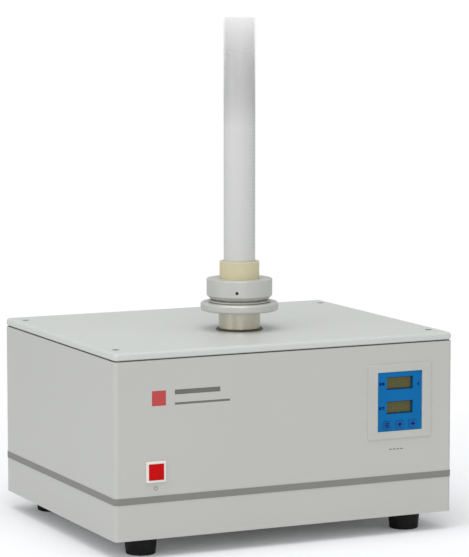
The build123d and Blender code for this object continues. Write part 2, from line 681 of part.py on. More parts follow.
def guide_column():
    """The hollow post that guides the lifting shaft. Its top is the anvil that the holder falls on."""
    seat_r = LIFT_SHAFT_R + RUNNING_FIT + BUSH_T + HOLE_CLEARANCE
    flange_top = BRIDGE_TOP + COLUMN_FLANGE_T
    lower_seat = BRIDGE_Z0 + BUSH_SINK + BUSH_L
    upper_seat = COLUMN_TOP - BUSH_SINK - BUSH_L
    column = turned([
        (seat_r, BRIDGE_Z0), (COLUMN_SPIGOT_R, BRIDGE_Z0), (COLUMN_SPIGOT_R, BRIDGE_TOP),
        (COLUMN_FLANGE_R, BRIDGE_TOP), (COLUMN_FLANGE_R, flange_top), (COLUMN_R, flange_top),
        (COLUMN_R, COLUMN_TOP - COLUMN_EDGE_R), (COLUMN_R - COLUMN_EDGE_R, COLUMN_TOP),
        (seat_r, COLUMN_TOP), (seat_r, upper_seat), (COLUMN_BORE_R, upper_seat),
        (COLUMN_BORE_R, lower_seat), (seat_r, lower_seat),
    ], HOLDER_X, HOLDER_Y)
    for x, y in COLUMN_SCREW_PLACES:
        column -= upright(x, y, BRIDGE_TOP, flange_top, COLUMN_SCREW_R + HOLE_CLEARANCE)
    return column


def column_bushes():
    """The two bronze bushes that the lifting shaft slides in."""
    inner = LIFT_SHAFT_R + RUNNING_FIT
    pieces = []
    for z0 in (BRIDGE_Z0 + BUSH_SINK, COLUMN_TOP - BUSH_SINK - BUSH_L):
        ring = upright(HOLDER_X, HOLDER_Y, z0, z0 + BUSH_L, inner + BUSH_T)
        pieces.append(ring - upright(HOLDER_X, HOLDER_Y, z0, z0 + BUSH_L, inner))
    return group(pieces)


def rotation_stop():
    """The slotted block under the bridge that keeps the fork from turning."""
    y0 = FORK_REAR_Y + STOP_GAP_Y
    body = block(HOLDER_X - STOP_W / 2, HOLDER_X + STOP_W / 2, y0, y0 + STOP_D,
                 BRIDGE_Z0 - STOP_DROP, BRIDGE_Z0)
    half = TONGUE_W / 2 + SLIDE_GAP
    return body - block(HOLDER_X - half, HOLDER_X + half, y0, y0 + STOP_D,
                        BRIDGE_Z0 - STOP_DROP, FORK_TOP + TAP_LIFT + STOP_TOP_GAP)


def roller_fork():
    """The fork that carries the cam roller below the lifting shaft, with a tongue behind it."""
    slot_half = ROLLER_W / 2 + FORK_SIDE_GAP
    y0 = HOLDER_Y - FORK_D / 2
    fork = block(HOLDER_X - FORK_HALF_W, HOLDER_X + FORK_HALF_W, y0, FORK_REAR_Y, FORK_HEAD_Z0, FORK_TOP)
    for side in (-1, 1):
        inner = HOLDER_X + side * slot_half
        outer = HOLDER_X + side * FORK_HALF_W
        x0, x1 = min(inner, outer), max(inner, outer)
        fork += block(x0, x1, HOLDER_Y - FORK_CHEEK_R, HOLDER_Y + FORK_CHEEK_R, ROLLER_Z, FORK_HEAD_Z0)
        fork += along_x(x0, x1, HOLDER_Y, ROLLER_Z, FORK_CHEEK_R)
    fork += block(HOLDER_X - TONGUE_W / 2, HOLDER_X + TONGUE_W / 2, FORK_REAR_Y, FORK_REAR_Y + TONGUE_L,
                  FORK_HEAD_Z0, FORK_TOP)
    fork -= along_x(HOLDER_X - FORK_HALF_W, HOLDER_X + FORK_HALF_W, HOLDER_Y, ROLLER_Z,
                    ROLLER_PIN_R + HOLE_CLEARANCE)
    return fork - upright(HOLDER_X, HOLDER_Y, FORK_TOP - LOWER_STUD_L, FORK_TOP,
                          LOWER_STUD_R + HOLE_CLEARANCE)


def roller_pin():
    """The pin through the fork that the roller turns on."""
    half = FORK_HALF_W + ROLLER_PIN_SPARE
    return along_x(HOLDER_X - half, HOLDER_X + half, HOLDER_Y, ROLLER_Z, ROLLER_PIN_R)


def cam_roller():
    """The roller that rides on the cam."""
    half = ROLLER_W / 2
    roller = along_x(HOLDER_X - half, HOLDER_X + half, HOLDER_Y, ROLLER_Z, ROLLER_R)
    return roller - along_x(HOLDER_X - half, HOLDER_X + half, HOLDER_Y, ROLLER_Z, ROLLER_PIN_R + RUNNING_FIT)


def lift_shaft():
    """The shaft between fork and holder, with a stud at each end."""
    stud_top = COLLAR_Z0 - UPPER_STUD_SPARE
    shaft = upright(HOLDER_X, HOLDER_Y, FORK_TOP, COLUMN_TOP, LIFT_SHAFT_R)
    shaft += upright(HOLDER_X, HOLDER_Y, FORK_TOP - LOWER_STUD_L, FORK_TOP, LOWER_STUD_R)
    return shaft + upright(HOLDER_X, HOLDER_Y, COLUMN_TOP, stud_top, UPPER_STUD_R)


def platform_flange():
    """The turned flange that strikes the column's top, with a groove, a step and a neck below the collar."""
    bore = UPPER_STUD_R + HOLE_CLEARANCE
    shape = turned([
        (bore, COLUMN_TOP), (PLATFORM_R, COLUMN_TOP), (PLATFORM_R, PLATFORM_TOP), (GROOVE_R, PLATFORM_TOP),
        (GROOVE_R, STEP_Z0), (STEP_R, STEP_Z0), (STEP_R, STEP_Z0 + STEP_EDGE_T), (GROOVE_R, NECK_Z0),
        (NECK_R, NECK_Z0), (NECK_R, COLLAR_Z0), (bore, COLLAR_Z0),
    ], HOLDER_X, HOLDER_Y)
    circles = shape.edges().filter_by(GeomType.CIRCLE)
    rims = [edge for edge in circles if abs(edge.radius - PLATFORM_R) < TOUCH]
    return fillet(rims, PLATFORM_EDGE_R)


def holder_collar():
    """The cup-shaped collar that grips the sleeve."""
    bore = SLEEVE_R + SLEEVE_FIT
    shape = turned([
        (0, COLLAR_Z0), (COLLAR_R - COLLAR_CHAMFER, COLLAR_Z0), (COLLAR_R, COLLAR_Z0 + COLLAR_CHAMFER),
        (COLLAR_R, COLLAR_TOP), (bore, COLLAR_TOP), (bore, SLEEVE_Z0), (0, SLEEVE_Z0),
    ], HOLDER_X, HOLDER_Y)
    rims = [edge for edge in shape.edges().filter_by(GeomType.CIRCLE) if edge.center().Z > COLLAR_TOP - TOUCH]
    shape = fillet(rims, COLLAR_EDGE_R)
    return shape - set_screw_bar(bore, COLLAR_R, SET_SCREW_R + HOLE_CLEARANCE)


def set_screw_bar(r0, r1, radius):
    """A round bar from one radius of the holder to another, in the set screw's direction."""
    bar = Rot(0, 0, -SET_SCREW_TURN) * along_y(0, -r1, -r0, COLLAR_Z0 + SET_SCREW_H, radius)
    return Pos(HOLDER_X, HOLDER_Y, 0) * bar


def collar_set_screw():
    """The grub screw that clamps the sleeve in the collar."""
    r0 = SLEEVE_R + SLEEVE_FIT
    r1 = COLLAR_R - SET_SCREW_SINK
    body = set_screw_bar(r0, r1, SET_SCREW_R)
    return body - set_screw_bar(r1 - SET_SCREW_R, r1, SET_SCREW_R * SET_SCREW_SOCKET_SHARE)


def cushion_sleeve():
    """The amber plastic cup between collar and cylinder."""
    bore = CYLINDER_R + CYLINDER_FIT
    shape = turned([
        (0, SLEEVE_Z0), (SLEEVE_R, SLEEVE_Z0), (SLEEVE_R, SLEEVE_TOP), (bore, SLEEVE_TOP),
        (bore, CYLINDER_Z0), (0, CYLINDER_Z0),
    ], HOLDER_X, HOLDER_Y)
    rims = [edge for edge in shape.edges().filter_by(GeomType.CIRCLE) if edge.center().Z > SLEEVE_TOP - TOUCH]
    return fillet(rims, SLEEVE_EDGE_R)


def measuring_cylinder():
    """The plain measuring cylinder, closed at the bottom and fire-polished at the mouth."""
    bore = CYLINDER_R - CYLINDER_WALL
    shape = turned([
        (0, CYLINDER_Z0), (CYLINDER_R, CYLINDER_Z0), (CYLINDER_R, CYLINDER_TOP), (bore, CYLINDER_TOP),
        (bore, CYLINDER_Z0 + CYLINDER_FLOOR_T), (0, CYLINDER_Z0 + CYLINDER_FLOOR_T),
    ], HOLDER_X, HOLDER_Y)
    circles = shape.edges().filter_by(GeomType.CIRCLE)
    rims = [edge for edge in circles if edge.center().Z > CYLINDER_TOP - TOUCH]
    return fillet(rims, CYLINDER_LIP_R)


def cam_point(turn, radius):
    """A point of the cam's outline across its axis, where it meets the roller after that turn."""
    angle = math.radians(turn)
    return (radius * math.sin(angle), radius * math.cos(angle))


def snail_cam():
    """The snail cam: its radius rises evenly by the tap's lift, drops in a few degrees and dwells."""
    top_r = CAM_BASE_R + TAP_LIFT
    steps = range(CAM_OUTLINE_STEPS + 1)
    rise = [
        cam_point(CAM_RISE_DEG * k / CAM_OUTLINE_STEPS, CAM_BASE_R + TAP_LIFT * k / CAM_OUTLINE_STEPS)
        for k in steps
    ]
    fall_end = CAM_RISE_DEG + CAM_FALL_DEG
    foot_point = cam_point(fall_end, CAM_BASE_R)
    dwell_middle = cam_point((fall_end + FULL_TURN_DEG) / 2, CAM_BASE_R)
    outline = Spline(*rise)
    outline += Line(cam_point(CAM_RISE_DEG, top_r), foot_point)
    outline += ThreePointArc(foot_point, dwell_middle, cam_point(0, CAM_BASE_R))
    across = Plane(origin=(HOLDER_X - CAM_W / 2, HOLDER_Y, CAM_Z), x_dir=(0, 1, 0), z_dir=(1, 0, 0))
    cam = extrude(across * make_face(outline), CAM_W)
    for side in (-1, 1):
        face_x = HOLDER_X + side * CAM_W / 2
        end_x = face_x + side * CAM_HUB_W
        cam += along_x(min(face_x, end_x), max(face_x, end_x), HOLDER_Y, CAM_Z, CAM_HUB_R)
    reach = CAM_W / 2 + CAM_HUB_W
    return cam - along_x(HOLDER_X - reach, HOLDER_X + reach, HOLDER_Y, CAM_Z, CAM_SHAFT_R + HOLE_CLEARANCE)


def cam_shaft():
    """The shaft through cam, bearings, pulley and flag disc."""
    return along_x(SHAFT_LEFT, CAM_SHAFT_RIGHT, HOLDER_Y, CAM_Z, CAM_SHAFT_R)


def bearing_block(side):
    """One of the two blocks beside the cam. Its bearing sits in a pocket that opens away from the cam."""
    middle = HOLDER_X + side * BLOCK_X
    x0 = middle - BLOCK_T / 2
    x1 = middle + BLOCK_T / 2
    top = CAM_Z + BLOCK_OVER
    body = block(x0, x1, HOLDER_Y - BLOCK_W / 2, HOLDER_Y + BLOCK_W / 2, CHASSIS_TOP, top)
    body = fillet(body.edges().filter_by(Axis.X).group_by(Axis.Z)[-1], BLOCK_T / 2)
    body += block(x0, x1, HOLDER_Y - BLOCK_FOOT_W / 2, HOLDER_Y + BLOCK_FOOT_W / 2,
                  CHASSIS_TOP, CHASSIS_TOP + BLOCK_FOOT_H)
    pocket_x0 = x1 - BLOCK_LIP_T - BEARING_W if side > 0 else x0
    pocket_x1 = x1 if side > 0 else x0 + BLOCK_LIP_T + BEARING_W
    body -= along_x(pocket_x0, pocket_x1, HOLDER_Y, CAM_Z, BEARING_R + HOLE_CLEARANCE)
    body -= along_x(x0, x1, HOLDER_Y, CAM_Z, BEARING_R - BLOCK_LIP_T)
    for x, y in BLOCK_SCREW_PLACES:
        if abs(x - middle) < TOUCH:
            body -= upright(x, y, CHASSIS_TOP, CHASSIS_TOP + BLOCK_FOOT_H, BLOCK_SCREW_R + HOLE_CLEARANCE)
    return body


def cam_bearings():
    """The two ball bearings of the cam shaft, drawn as closed rings with a groove on each face."""
    pieces = []
    mid_r = (BEARING_R + CAM_SHAFT_R) / 2
    for side in (-1, 1):
        inner_x = HOLDER_X + side * (BLOCK_X + BLOCK_T / 2 - BLOCK_LIP_T - BEARING_W)
        outer_x = inner_x + side * BEARING_W
        x0, x1 = min(inner_x, outer_x), max(inner_x, outer_x)
        ring = along_x(x0, x1, HOLDER_Y, CAM_Z, BEARING_R)
        ring -= along_x(x0, x1, HOLDER_Y, CAM_Z, CAM_SHAFT_R + RUNNING_FIT)
        for face_x in (x0, x1):
            groove = along_x(face_x - BEARING_GROOVE_R / 2, face_x + BEARING_GROOVE_R / 2, HOLDER_Y, CAM_Z,
                             mid_r + BEARING_GROOVE_R)
            groove -= along_x(face_x - BEARING_GROOVE_R / 2, face_x + BEARING_GROOVE_R / 2, HOLDER_Y, CAM_Z,
                              mid_r - BEARING_GROOVE_R)
            ring -= groove
        pieces.append(ring)
    return group(pieces)


def pulley(y, radius, bore):
    """A belt pulley with a flange on each side."""
    body = along_x(BELT_X - PULLEY_OUT_HALF_W, BELT_X + PULLEY_OUT_HALF_W, y, CAM_Z,
                   radius + PULLEY_FLANGE_RISE)
    track = along_x(BELT_X - PULLEY_HALF_W, BELT_X + PULLEY_HALF_W, y, CAM_Z, radius + PULLEY_FLANGE_RISE)
    body -= track - along_x(BELT_X - PULLEY_HALF_W, BELT_X + PULLEY_HALF_W, y, CAM_Z, radius)
    return body - along_x(BELT_X - PULLEY_OUT_HALF_W, BELT_X + PULLEY_OUT_HALF_W, y, CAM_Z,
                          bore + HOLE_CLEARANCE)


def belt_outline(cam_r, motor_r):
    """The face inside a belt: two circles and the straight stretches that touch both."""
    lean = math.asin((cam_r - motor_r) / BELT_CENTRES)
    sine, cosine = math.sin(lean), math.cos(lean)
    wedge = Polyline(
        (cam_r * sine, cam_r * cosine), (BELT_CENTRES + motor_r * sine, motor_r * cosine),
        (BELT_CENTRES + motor_r * sine, -motor_r * cosine), (cam_r * sine, -cam_r * cosine), close=True,
    )
    return make_face(wedge) + Circle(cam_r) + Pos(BELT_CENTRES, 0) * Circle(motor_r)


def drive_belt():
    """The flat belt from the motor's pulley to the cam's."""
    across = Plane(origin=(BELT_X - BELT_W / 2, HOLDER_Y, CAM_Z), x_dir=(0, 1, 0), z_dir=(1, 0, 0))
    inner = belt_outline(CAM_PULLEY_R + BELT_GAP, MOTOR_PULLEY_R + BELT_GAP)
    outer = belt_outline(CAM_PULLEY_R + BELT_GAP + BELT_T, MOTOR_PULLEY_R + BELT_GAP + BELT_T)
    return extrude(across * (outer - inner), BELT_W)


def motor_bracket():
    """The angle plate that holds the gear motor on the chassis."""
    half = GEARBOX_SIDE / 2 + BRACKET_MARGIN
    plate = block(BRACKET_X0, GEARBOX_X0, MOTOR_Y - half, MOTOR_Y + half, CHASSIS_TOP, CAM_Z + BRACKET_OVER)
    plate += block(BRACKET_X0, BRACKET_X0 + BRACKET_FOOT_L, MOTOR_Y - half, MOTOR_Y + half,
                   CHASSIS_TOP, CHASSIS_TOP + BRACKET_T)
    return plate - along_x(BRACKET_X0, GEARBOX_X0, MOTOR_Y, CAM_Z, BRACKET_HOLE_R)


def gear_motor():
    """The gear motor: a square gearbox against the bracket, then the round motor and its end cap."""
    half = GEARBOX_SIDE / 2
    box = block(GEARBOX_X0, GEARBOX_X1, MOTOR_Y - half, MOTOR_Y + half, CAM_Z - half, CAM_Z + half)
    box = fillet(box.edges().filter_by(Axis.X), GEARBOX_EDGE_R)
    box += along_x(GEARBOX_X1, MOTOR_CAN_X1, MOTOR_Y, CAM_Z, MOTOR_CAN_R)
    box += along_x(MOTOR_CAN_X1, MOTOR_X1, MOTOR_Y, CAM_Z, MOTOR_CAP_R)
    return box - along_x(GEARBOX_X0, GEARBOX_X0 + MOTOR_SHAFT_GRIP, MOTOR_Y, CAM_Z,
                         MOTOR_SHAFT_R + RUNNING_FIT)


def motor_shaft():
    """The gearbox's output shaft."""
    return along_x(SHAFT_LEFT, GEARBOX_X0 + MOTOR_SHAFT_GRIP - SLIDE_GAP, MOTOR_Y, CAM_Z, MOTOR_SHAFT_R)


def flag_disc():
    """The notched disc that the sensor counts taps with."""
    disc = along_x(FLAG_X - FLAG_T / 2, FLAG_X + FLAG_T / 2, HOLDER_Y, CAM_Z, FLAG_R)
    disc += along_x(FLAG_X, FLAG_X + FLAG_HUB_L, HOLDER_Y, CAM_Z, FLAG_HUB_R)
    disc -= block(FLAG_X - FLAG_T, FLAG_X + FLAG_T, HOLDER_Y - FLAG_NOTCH_W / 2, HOLDER_Y + FLAG_NOTCH_W / 2,
                  CAM_Z + FLAG_R - FLAG_NOTCH_H, CAM_Z + FLAG_R)
    return disc - along_x(FLAG_X - FLAG_T, FLAG_X + FLAG_HUB_L, HOLDER_Y, CAM_Z, CAM_SHAFT_R + HOLE_CLEARANCE)


def tap_sensor():
    """The forked sensor that the flag disc runs through, on its stand."""
    x0, x1 = FLAG_X - SENSOR_W / 2, FLAG_X + SENSOR_W / 2
    y0, y1 = HOLDER_Y - SENSOR_D / 2, HOLDER_Y + SENSOR_D / 2
    edge_z = CAM_Z - FLAG_R
    body = block(x0, x1, y0, y1, CHASSIS_TOP, edge_z + SENSOR_GRASP)
    return body - block(FLAG_X - SENSOR_SLOT_W / 2, FLAG_X + SENSOR_SLOT_W / 2, y0, y1,
                        edge_z - SENSOR_FLOOR_GAP, edge_z + SENSOR_GRASP)


def power_supply():
    """The enclosed power supply on its four standoffs, with cooling grooves in the top."""
    x0, x1 = SUPPLY_X - SUPPLY_W / 2, SUPPLY_X + SUPPLY_W / 2
    body = block(x0, x1, SUPPLY_FRONT_Y, SUPPLY_REAR_Y, SUPPLY_Z0, SUPPLY_TOP)
    body = fillet(body.edges().filter_by(Axis.Z), SUPPLY_EDGE_R)
    first = SUPPLY_X - SUPPLY_FIN_PITCH * (SUPPLY_FIN_COUNT - 1) / 2
    for k in range(SUPPLY_FIN_COUNT):
        x = first + k * SUPPLY_FIN_PITCH
        body -= block(x - SUPPLY_FIN_T / 2, x + SUPPLY_FIN_T / 2, SUPPLY_FRONT_Y + SUPPLY_FIN_PITCH,
                      SUPPLY_Y + SUPPLY_FIN_END, SUPPLY_TOP - SUPPLY_FIN_DEPTH, SUPPLY_TOP)
    half_x = SUPPLY_W / 2 - STANDOFF_INSET
    half_y = SUPPLY_D / 2 - STANDOFF_INSET
    for x, y in corners(half_x, half_y, SUPPLY_X, SUPPLY_Y):
        body += upright(x, y, CHASSIS_TOP, SUPPLY_Z0, STANDOFF_R)
    return body


def control_board():
    """The control board on its standoffs, with plugs for the wires and two chips."""
    x0, x1 = BOARD_X - BOARD_W / 2, BOARD_X + BOARD_W / 2
    body = block(x0, x1, BOARD_FRONT_Y, BOARD_REAR_Y, BOARD_Z0, BOARD_TOP)
    half_x = BOARD_W / 2 - STANDOFF_INSET
    half_y = BOARD_D / 2 - STANDOFF_INSET
    for x, y in corners(half_x, half_y, BOARD_X, BOARD_Y):
        body += upright(x, y, CHASSIS_TOP, BOARD_Z0, STANDOFF_R)
    plugs = [(MOTOR_PLUG_X, MOTOR_PLUG_Y), (SUPPLY_X, MOTOR_PLUG_Y), (COUNTER_X, COUNTER_WIRE_Y)]
    for x, y in plugs:
        body += block(x - BOARD_PLUG_W / 2, x + BOARD_PLUG_W / 2, y - BOARD_PLUG_D / 2, y + BOARD_PLUG_D / 2,
                      BOARD_TOP, PLUG_TOP)
    chip_y = BOARD_Y - BOARD_CHIP_SHIFT
    for x in (BOARD_X - BOARD_CHIP, BOARD_X + BOARD_CHIP):
        body += block(x - BOARD_CHIP / 2, x + BOARD_CHIP / 2, chip_y - BOARD_CHIP / 2,
                      chip_y + BOARD_CHIP / 2, BOARD_TOP, BOARD_TOP + BOARD_CHIP_H)
    return body


def wire(points):
    """A round wire along straight runs joined by arcs."""
    if len(points) > 2:
        path = FilletPolyline(*points, radius=WIRE_BEND_R)
    else:
        path = Line(*points)
    start = Plane(origin=path @ 0, z_dir=path % 0)
    return sweep(start * Circle(WIRE_R), path=path)


def wiring_loom():
    """The wires inside the case, from inlet, button and motor to the supply, the board and the counter."""
    rear_y = SUPPLY_REAR_Y + WIRE_WALL_GAP
    inlet_y = INLET_BACK_Y - WIRE_SHORT_LEAD
    switch_y = SWITCH_BACK_Y + WIRE_LEAD
    runs = [
        [(INLET_X, INLET_BACK_Y, INLET_Z), (INLET_X, inlet_y, INLET_Z), (INLET_X, inlet_y, SUPPLY_TOP)],
        [(SWITCH_X, SWITCH_BACK_Y, SWITCH_Z), (SWITCH_X, switch_y, SWITCH_Z),
         (SWITCH_X, switch_y, SUPPLY_WIRE_Z),
         (SWITCH_X, rear_y, SUPPLY_WIRE_Z), (SUPPLY_X, rear_y, SUPPLY_WIRE_Z),
         (SUPPLY_X, SUPPLY_REAR_Y, SUPPLY_WIRE_Z)],
        [(SUPPLY_X, SUPPLY_FRONT_Y, PLUG_WIRE_Z), (SUPPLY_X, BOARD_REAR_Y, PLUG_WIRE_Z)],
        [(COUNTER_X, COUNTER_BACK_Y, COUNTER_Z), (COUNTER_X, COUNTER_WIRE_Y, COUNTER_Z),
         (COUNTER_X, COUNTER_WIRE_Y, PLUG_TOP)],
        [(MOTOR_X1, MOTOR_Y, MOTOR_WIRE_Z), (MOTOR_WIRE_X, MOTOR_Y, MOTOR_WIRE_Z),
         (MOTOR_WIRE_X, MOTOR_PLUG_Y, MOTOR_WIRE_Z), (MOTOR_PLUG_X, MOTOR_PLUG_Y, MOTOR_WIRE_Z),
         (MOTOR_PLUG_X, MOTOR_PLUG_Y, PLUG_TOP)],
    ]
    return group(wire(points) for points in runs)


def rear_panel():
    """The panel behind the rear opening, with ventilation slots and the inlet's cutout."""
    width = REAR_WINDOW_W + 2 * REAR_OVERLAP
    panel = block(-width / 2, width / 2, PANEL_Y0, PANEL_Y1, WINDOW_Z0 - REAR_OVERLAP,
                  WINDOW_Z1 + REAR_OVERLAP)
    for x, z in REAR_SCREW_PLACES:
        panel -= along_y(x, PANEL_Y0, PANEL_Y1, z, REAR_SCREW_R + HOLE_CLEARANCE)
    first = VENT_X - VENT_PITCH * (VENT_COUNT - 1) / 2
    for k in range(VENT_COUNT):
        slot = panel_block(first + k * VENT_PITCH, INLET_Z, VENT_W, VENT_H, VENT_W / 2 - VENT_FLAT,
                           PANEL_Y0, PANEL_Y1)
        panel -= slot
    cut_w = INLET_BODY_W + 2 * INLET_FIT
    cut_h = INLET_BODY_H + 2 * INLET_FIT
    return panel - panel_block(INLET_X, INLET_Z, cut_w, cut_h, MOULDED_R, PANEL_Y0, PANEL_Y1)


def rear_panel_screws():
    """The screws through the shell into the rear panel."""
    one = Rot(-90, 0, 0) * screw(REAR_SCREW_R, REAR_SCREW_L, REAR_SCREW_HEAD_R, REAR_SCREW_HEAD_H)
    return group(Pos(x, REAR_Y, z) * one for x, z in REAR_SCREW_PLACES)


def inlet_socket():
    """The mains inlet: a flange on the panel, a keyed socket for the plug and a slot for the fuse drawer."""
    flange_y = PANEL_Y1 + INLET_FLANGE_T
    body = panel_block(INLET_X, INLET_Z, INLET_FLANGE_W, INLET_FLANGE_H, INLET_CORNER_R, PANEL_Y1, flange_y)
    body += panel_block(INLET_X, INLET_Z, INLET_BODY_W, INLET_BODY_H, MOULDED_R, INLET_BACK_Y, PANEL_Y1)
    x0, x1 = INLET_X - SOCKET_W / 2, INLET_X + SOCKET_W / 2
    z0, z1 = SOCKET_Z - SOCKET_H / 2, SOCKET_Z + SOCKET_H / 2
    socket = block(x0, x1, flange_y - SOCKET_DEPTH, flange_y, z0, z1)
    upper = socket.edges().filter_by(Axis.Y).group_by(Axis.Z)[-1]
    body -= chamfer(upper, SOCKET_CUT)
    slot_w = DRAWER_W / 2 + DRAWER_GAP
    slot_h = DRAWER_H / 2 + DRAWER_GAP
    slot_y = flange_y - DRAWER_DEPTH - DRAWER_GAP
    body -= block(INLET_X - slot_w, INLET_X + slot_w, slot_y, flange_y, DRAWER_Z - slot_h, DRAWER_Z + slot_h)
    for x, z in pin_places():
        body -= pin_block(x, z, HOLE_CLEARANCE)
    return body


def pin_places():
    """Where the inlet's three pins stand: two line pins below and the earth pin above."""
    line_z = SOCKET_Z - PIN_LINE_DROP
    return [(INLET_X - PIN_SPREAD, line_z), (INLET_X, line_z + PIN_EARTH_RISE),
            (INLET_X + PIN_SPREAD, line_z)]


def pin_block(x, z, spare):
    """One inlet pin, or with some spare the hole it is set in."""
    tip_y = PANEL_Y1 + INLET_FLANGE_T - PIN_TIP_SINK
    root_y = PANEL_Y1 + INLET_FLANGE_T - SOCKET_DEPTH - PIN_ROOT
    half_t = PIN_T / 2 + spare
    half_h = PIN_H / 2 + spare
    return block(x - half_t, x + half_t, root_y, tip_y, z - half_h, z + half_h)


def inlet_pins():
    """The three flat pins of the inlet."""
    return group(pin_block(x, z, 0) for x, z in pin_places())


def fuse_drawer():
    """The drawer under the socket that holds the fuse and pulls out to the rear."""
    flange_y = PANEL_Y1 + INLET_FLANGE_T
    x0, x1 = INLET_X - DRAWER_W / 2, INLET_X + DRAWER_W / 2
    z0, z1 = DRAWER_Z - DRAWER_H / 2, DRAWER_Z + DRAWER_H / 2
    drawer = block(x0, x1, flange_y - DRAWER_DEPTH, flange_y, z0, z1)
    pull_half = DRAWER_PULL_H / 2
    drawer += block(x0 + DRAWER_PULL_T, x1 - DRAWER_PULL_T, flange_y, flange_y + DRAWER_PULL_T,
                    DRAWER_Z - pull_half, DRAWER_Z + pull_half)
    room_y0 = flange_y - DRAWER_DEPTH + FUSE_ROOM_WALL
    room_y1 = flange_y - FUSE_ROOM_WALL
    return drawer - block(INLET_X - FUSE_ROOM_W / 2, INLET_X + FUSE_ROOM_W / 2, room_y0, room_y1,
                          z1 - FUSE_ROOM_H, z1)


def switch_frame():
    """The body and square bezel of the power button, open at the front for the cap."""
    bezel_y = FRONT_Y - SWITCH_BEZEL_PROUD
    body = panel_block(SWITCH_X, SWITCH_Z, SWITCH_BEZEL_W, SWITCH_BEZEL_W, SWITCH_BEZEL_R, bezel_y, FRONT_Y)
    body = chamfer(body.edges().group_by(Axis.Y)[0], SWITCH_BEZEL_CHAMFER)
    body += panel_block(SWITCH_X, SWITCH_Z, SWITCH_BODY_W, SWITCH_BODY_W, CUTOUT_R, FRONT_Y, SWITCH_BACK_Y)
    well = BUTTON_W + 2 * BUTTON_GAP
    well_y = FRONT_Y - BUTTON_PROUD + BUTTON_L + BUTTON_TRAVEL + BUTTON_GAP
    return body - panel_block(SWITCH_X, SWITCH_Z, well, well, CUTOUT_R, bezel_y, well_y)


def power_button():
    """The square red cap."""
    front = FRONT_Y - BUTTON_PROUD
    cap = panel_block(SWITCH_X, SWITCH_Z, BUTTON_W, BUTTON_W, BUTTON_EDGE_R, front, front + BUTTON_L)
    return fillet(cap.edges().group_by(Axis.Y)[0], BUTTON_FACE_R)


def counter_bezel():
    """The pale frame round the counter, on the case's front."""
    y0 = FRONT_Y - COUNTER_BEZEL_PROUD
    frame = panel_block(COUNTER_X, COUNTER_Z, COUNTER_BEZEL_W, COUNTER_BEZEL_H, COUNTER_BEZEL_R, y0, FRONT_Y)
    frame = fillet(frame.edges().group_by(Axis.Y)[0], COUNTER_BEZEL_EDGE_R)
    hole_w = COUNTER_FACE_W + 2 * COUNTER_FIT
    hole_h = COUNTER_FACE_H + 2 * COUNTER_FIT
    return frame - panel_block(COUNTER_X, COUNTER_Z, hole_w, hole_h, CUTOUT_R, y0, FRONT_Y)


def counter_case():
    """The counter's box behind the front, closed at the back."""
    body = panel_block(COUNTER_X, COUNTER_Z, COUNTER_FACE_W, COUNTER_FACE_H, MOULDED_R, FACE_BACK_Y,
                       COUNTER_BACK_Y)
    inner_w = COUNTER_FACE_W - 2 * COUNTER_WALL
    inner_h = COUNTER_FACE_H - 2 * COUNTER_WALL
    return body - panel_block(COUNTER_X, COUNTER_Z, inner_w, inner_h, CUTOUT_R, FACE_BACK_Y,
                              COUNTER_BACK_Y - COUNTER_WALL)


def key_places():
    """The middles of the three keys."""
    return [(COUNTER_X + k * KEY_PITCH, COUNTER_Z - KEY_DROP) for k in (-1, 0, 1)]


def counter_face():
    """The blue face plate with two display windows and three key holes."""
    face = panel_block(COUNTER_X, COUNTER_Z, COUNTER_FACE_W, COUNTER_FACE_H, CUTOUT_R, FACE_FRONT_Y,
                       FACE_BACK_Y)
    for z in (COUNTER_Z + DISPLAY_UPPER_RISE, COUNTER_Z - DISPLAY_LOWER_DROP):
        face -= panel_block(COUNTER_X, z, DISPLAY_W, DISPLAY_H, CUTOUT_R, FACE_FRONT_Y, FACE_BACK_Y)
    for x, z in key_places():
        face -= panel_block(x, z, KEY_W + 2 * KEY_GAP, KEY_H + 2 * KEY_GAP, MOULDED_R, FACE_FRONT_Y,
                            FACE_BACK_Y)
    return face


def display(z):
    """A display glass behind its window in the face plate."""
    width = DISPLAY_W + 2 * DISPLAY_RIM
    height = DISPLAY_H + 2 * DISPLAY_RIM
    return panel_block(COUNTER_X, z, width, height, CUTOUT_R, FACE_BACK_Y, FACE_BACK_Y + DISPLAY_T)


def key(x, z):
    """A key cap with a rim behind the face plate."""
    front = FACE_FRONT_Y - KEY_PROUD
    cap = panel_block(x, z, KEY_W, KEY_H, MOULDED_R, front, FACE_BACK_Y + KEY_GAP)
    cap = fillet(cap.edges().group_by(Axis.Y)[0], KEY_EDGE_R)
    rim_y = FACE_BACK_Y + KEY_GAP
    return cap + panel_block(x, z, KEY_W + 2 * KEY_RIM, KEY_H + 2 * KEY_RIM, MOULDED_R, rim_y,
                             rim_y + KEY_RIM_T)


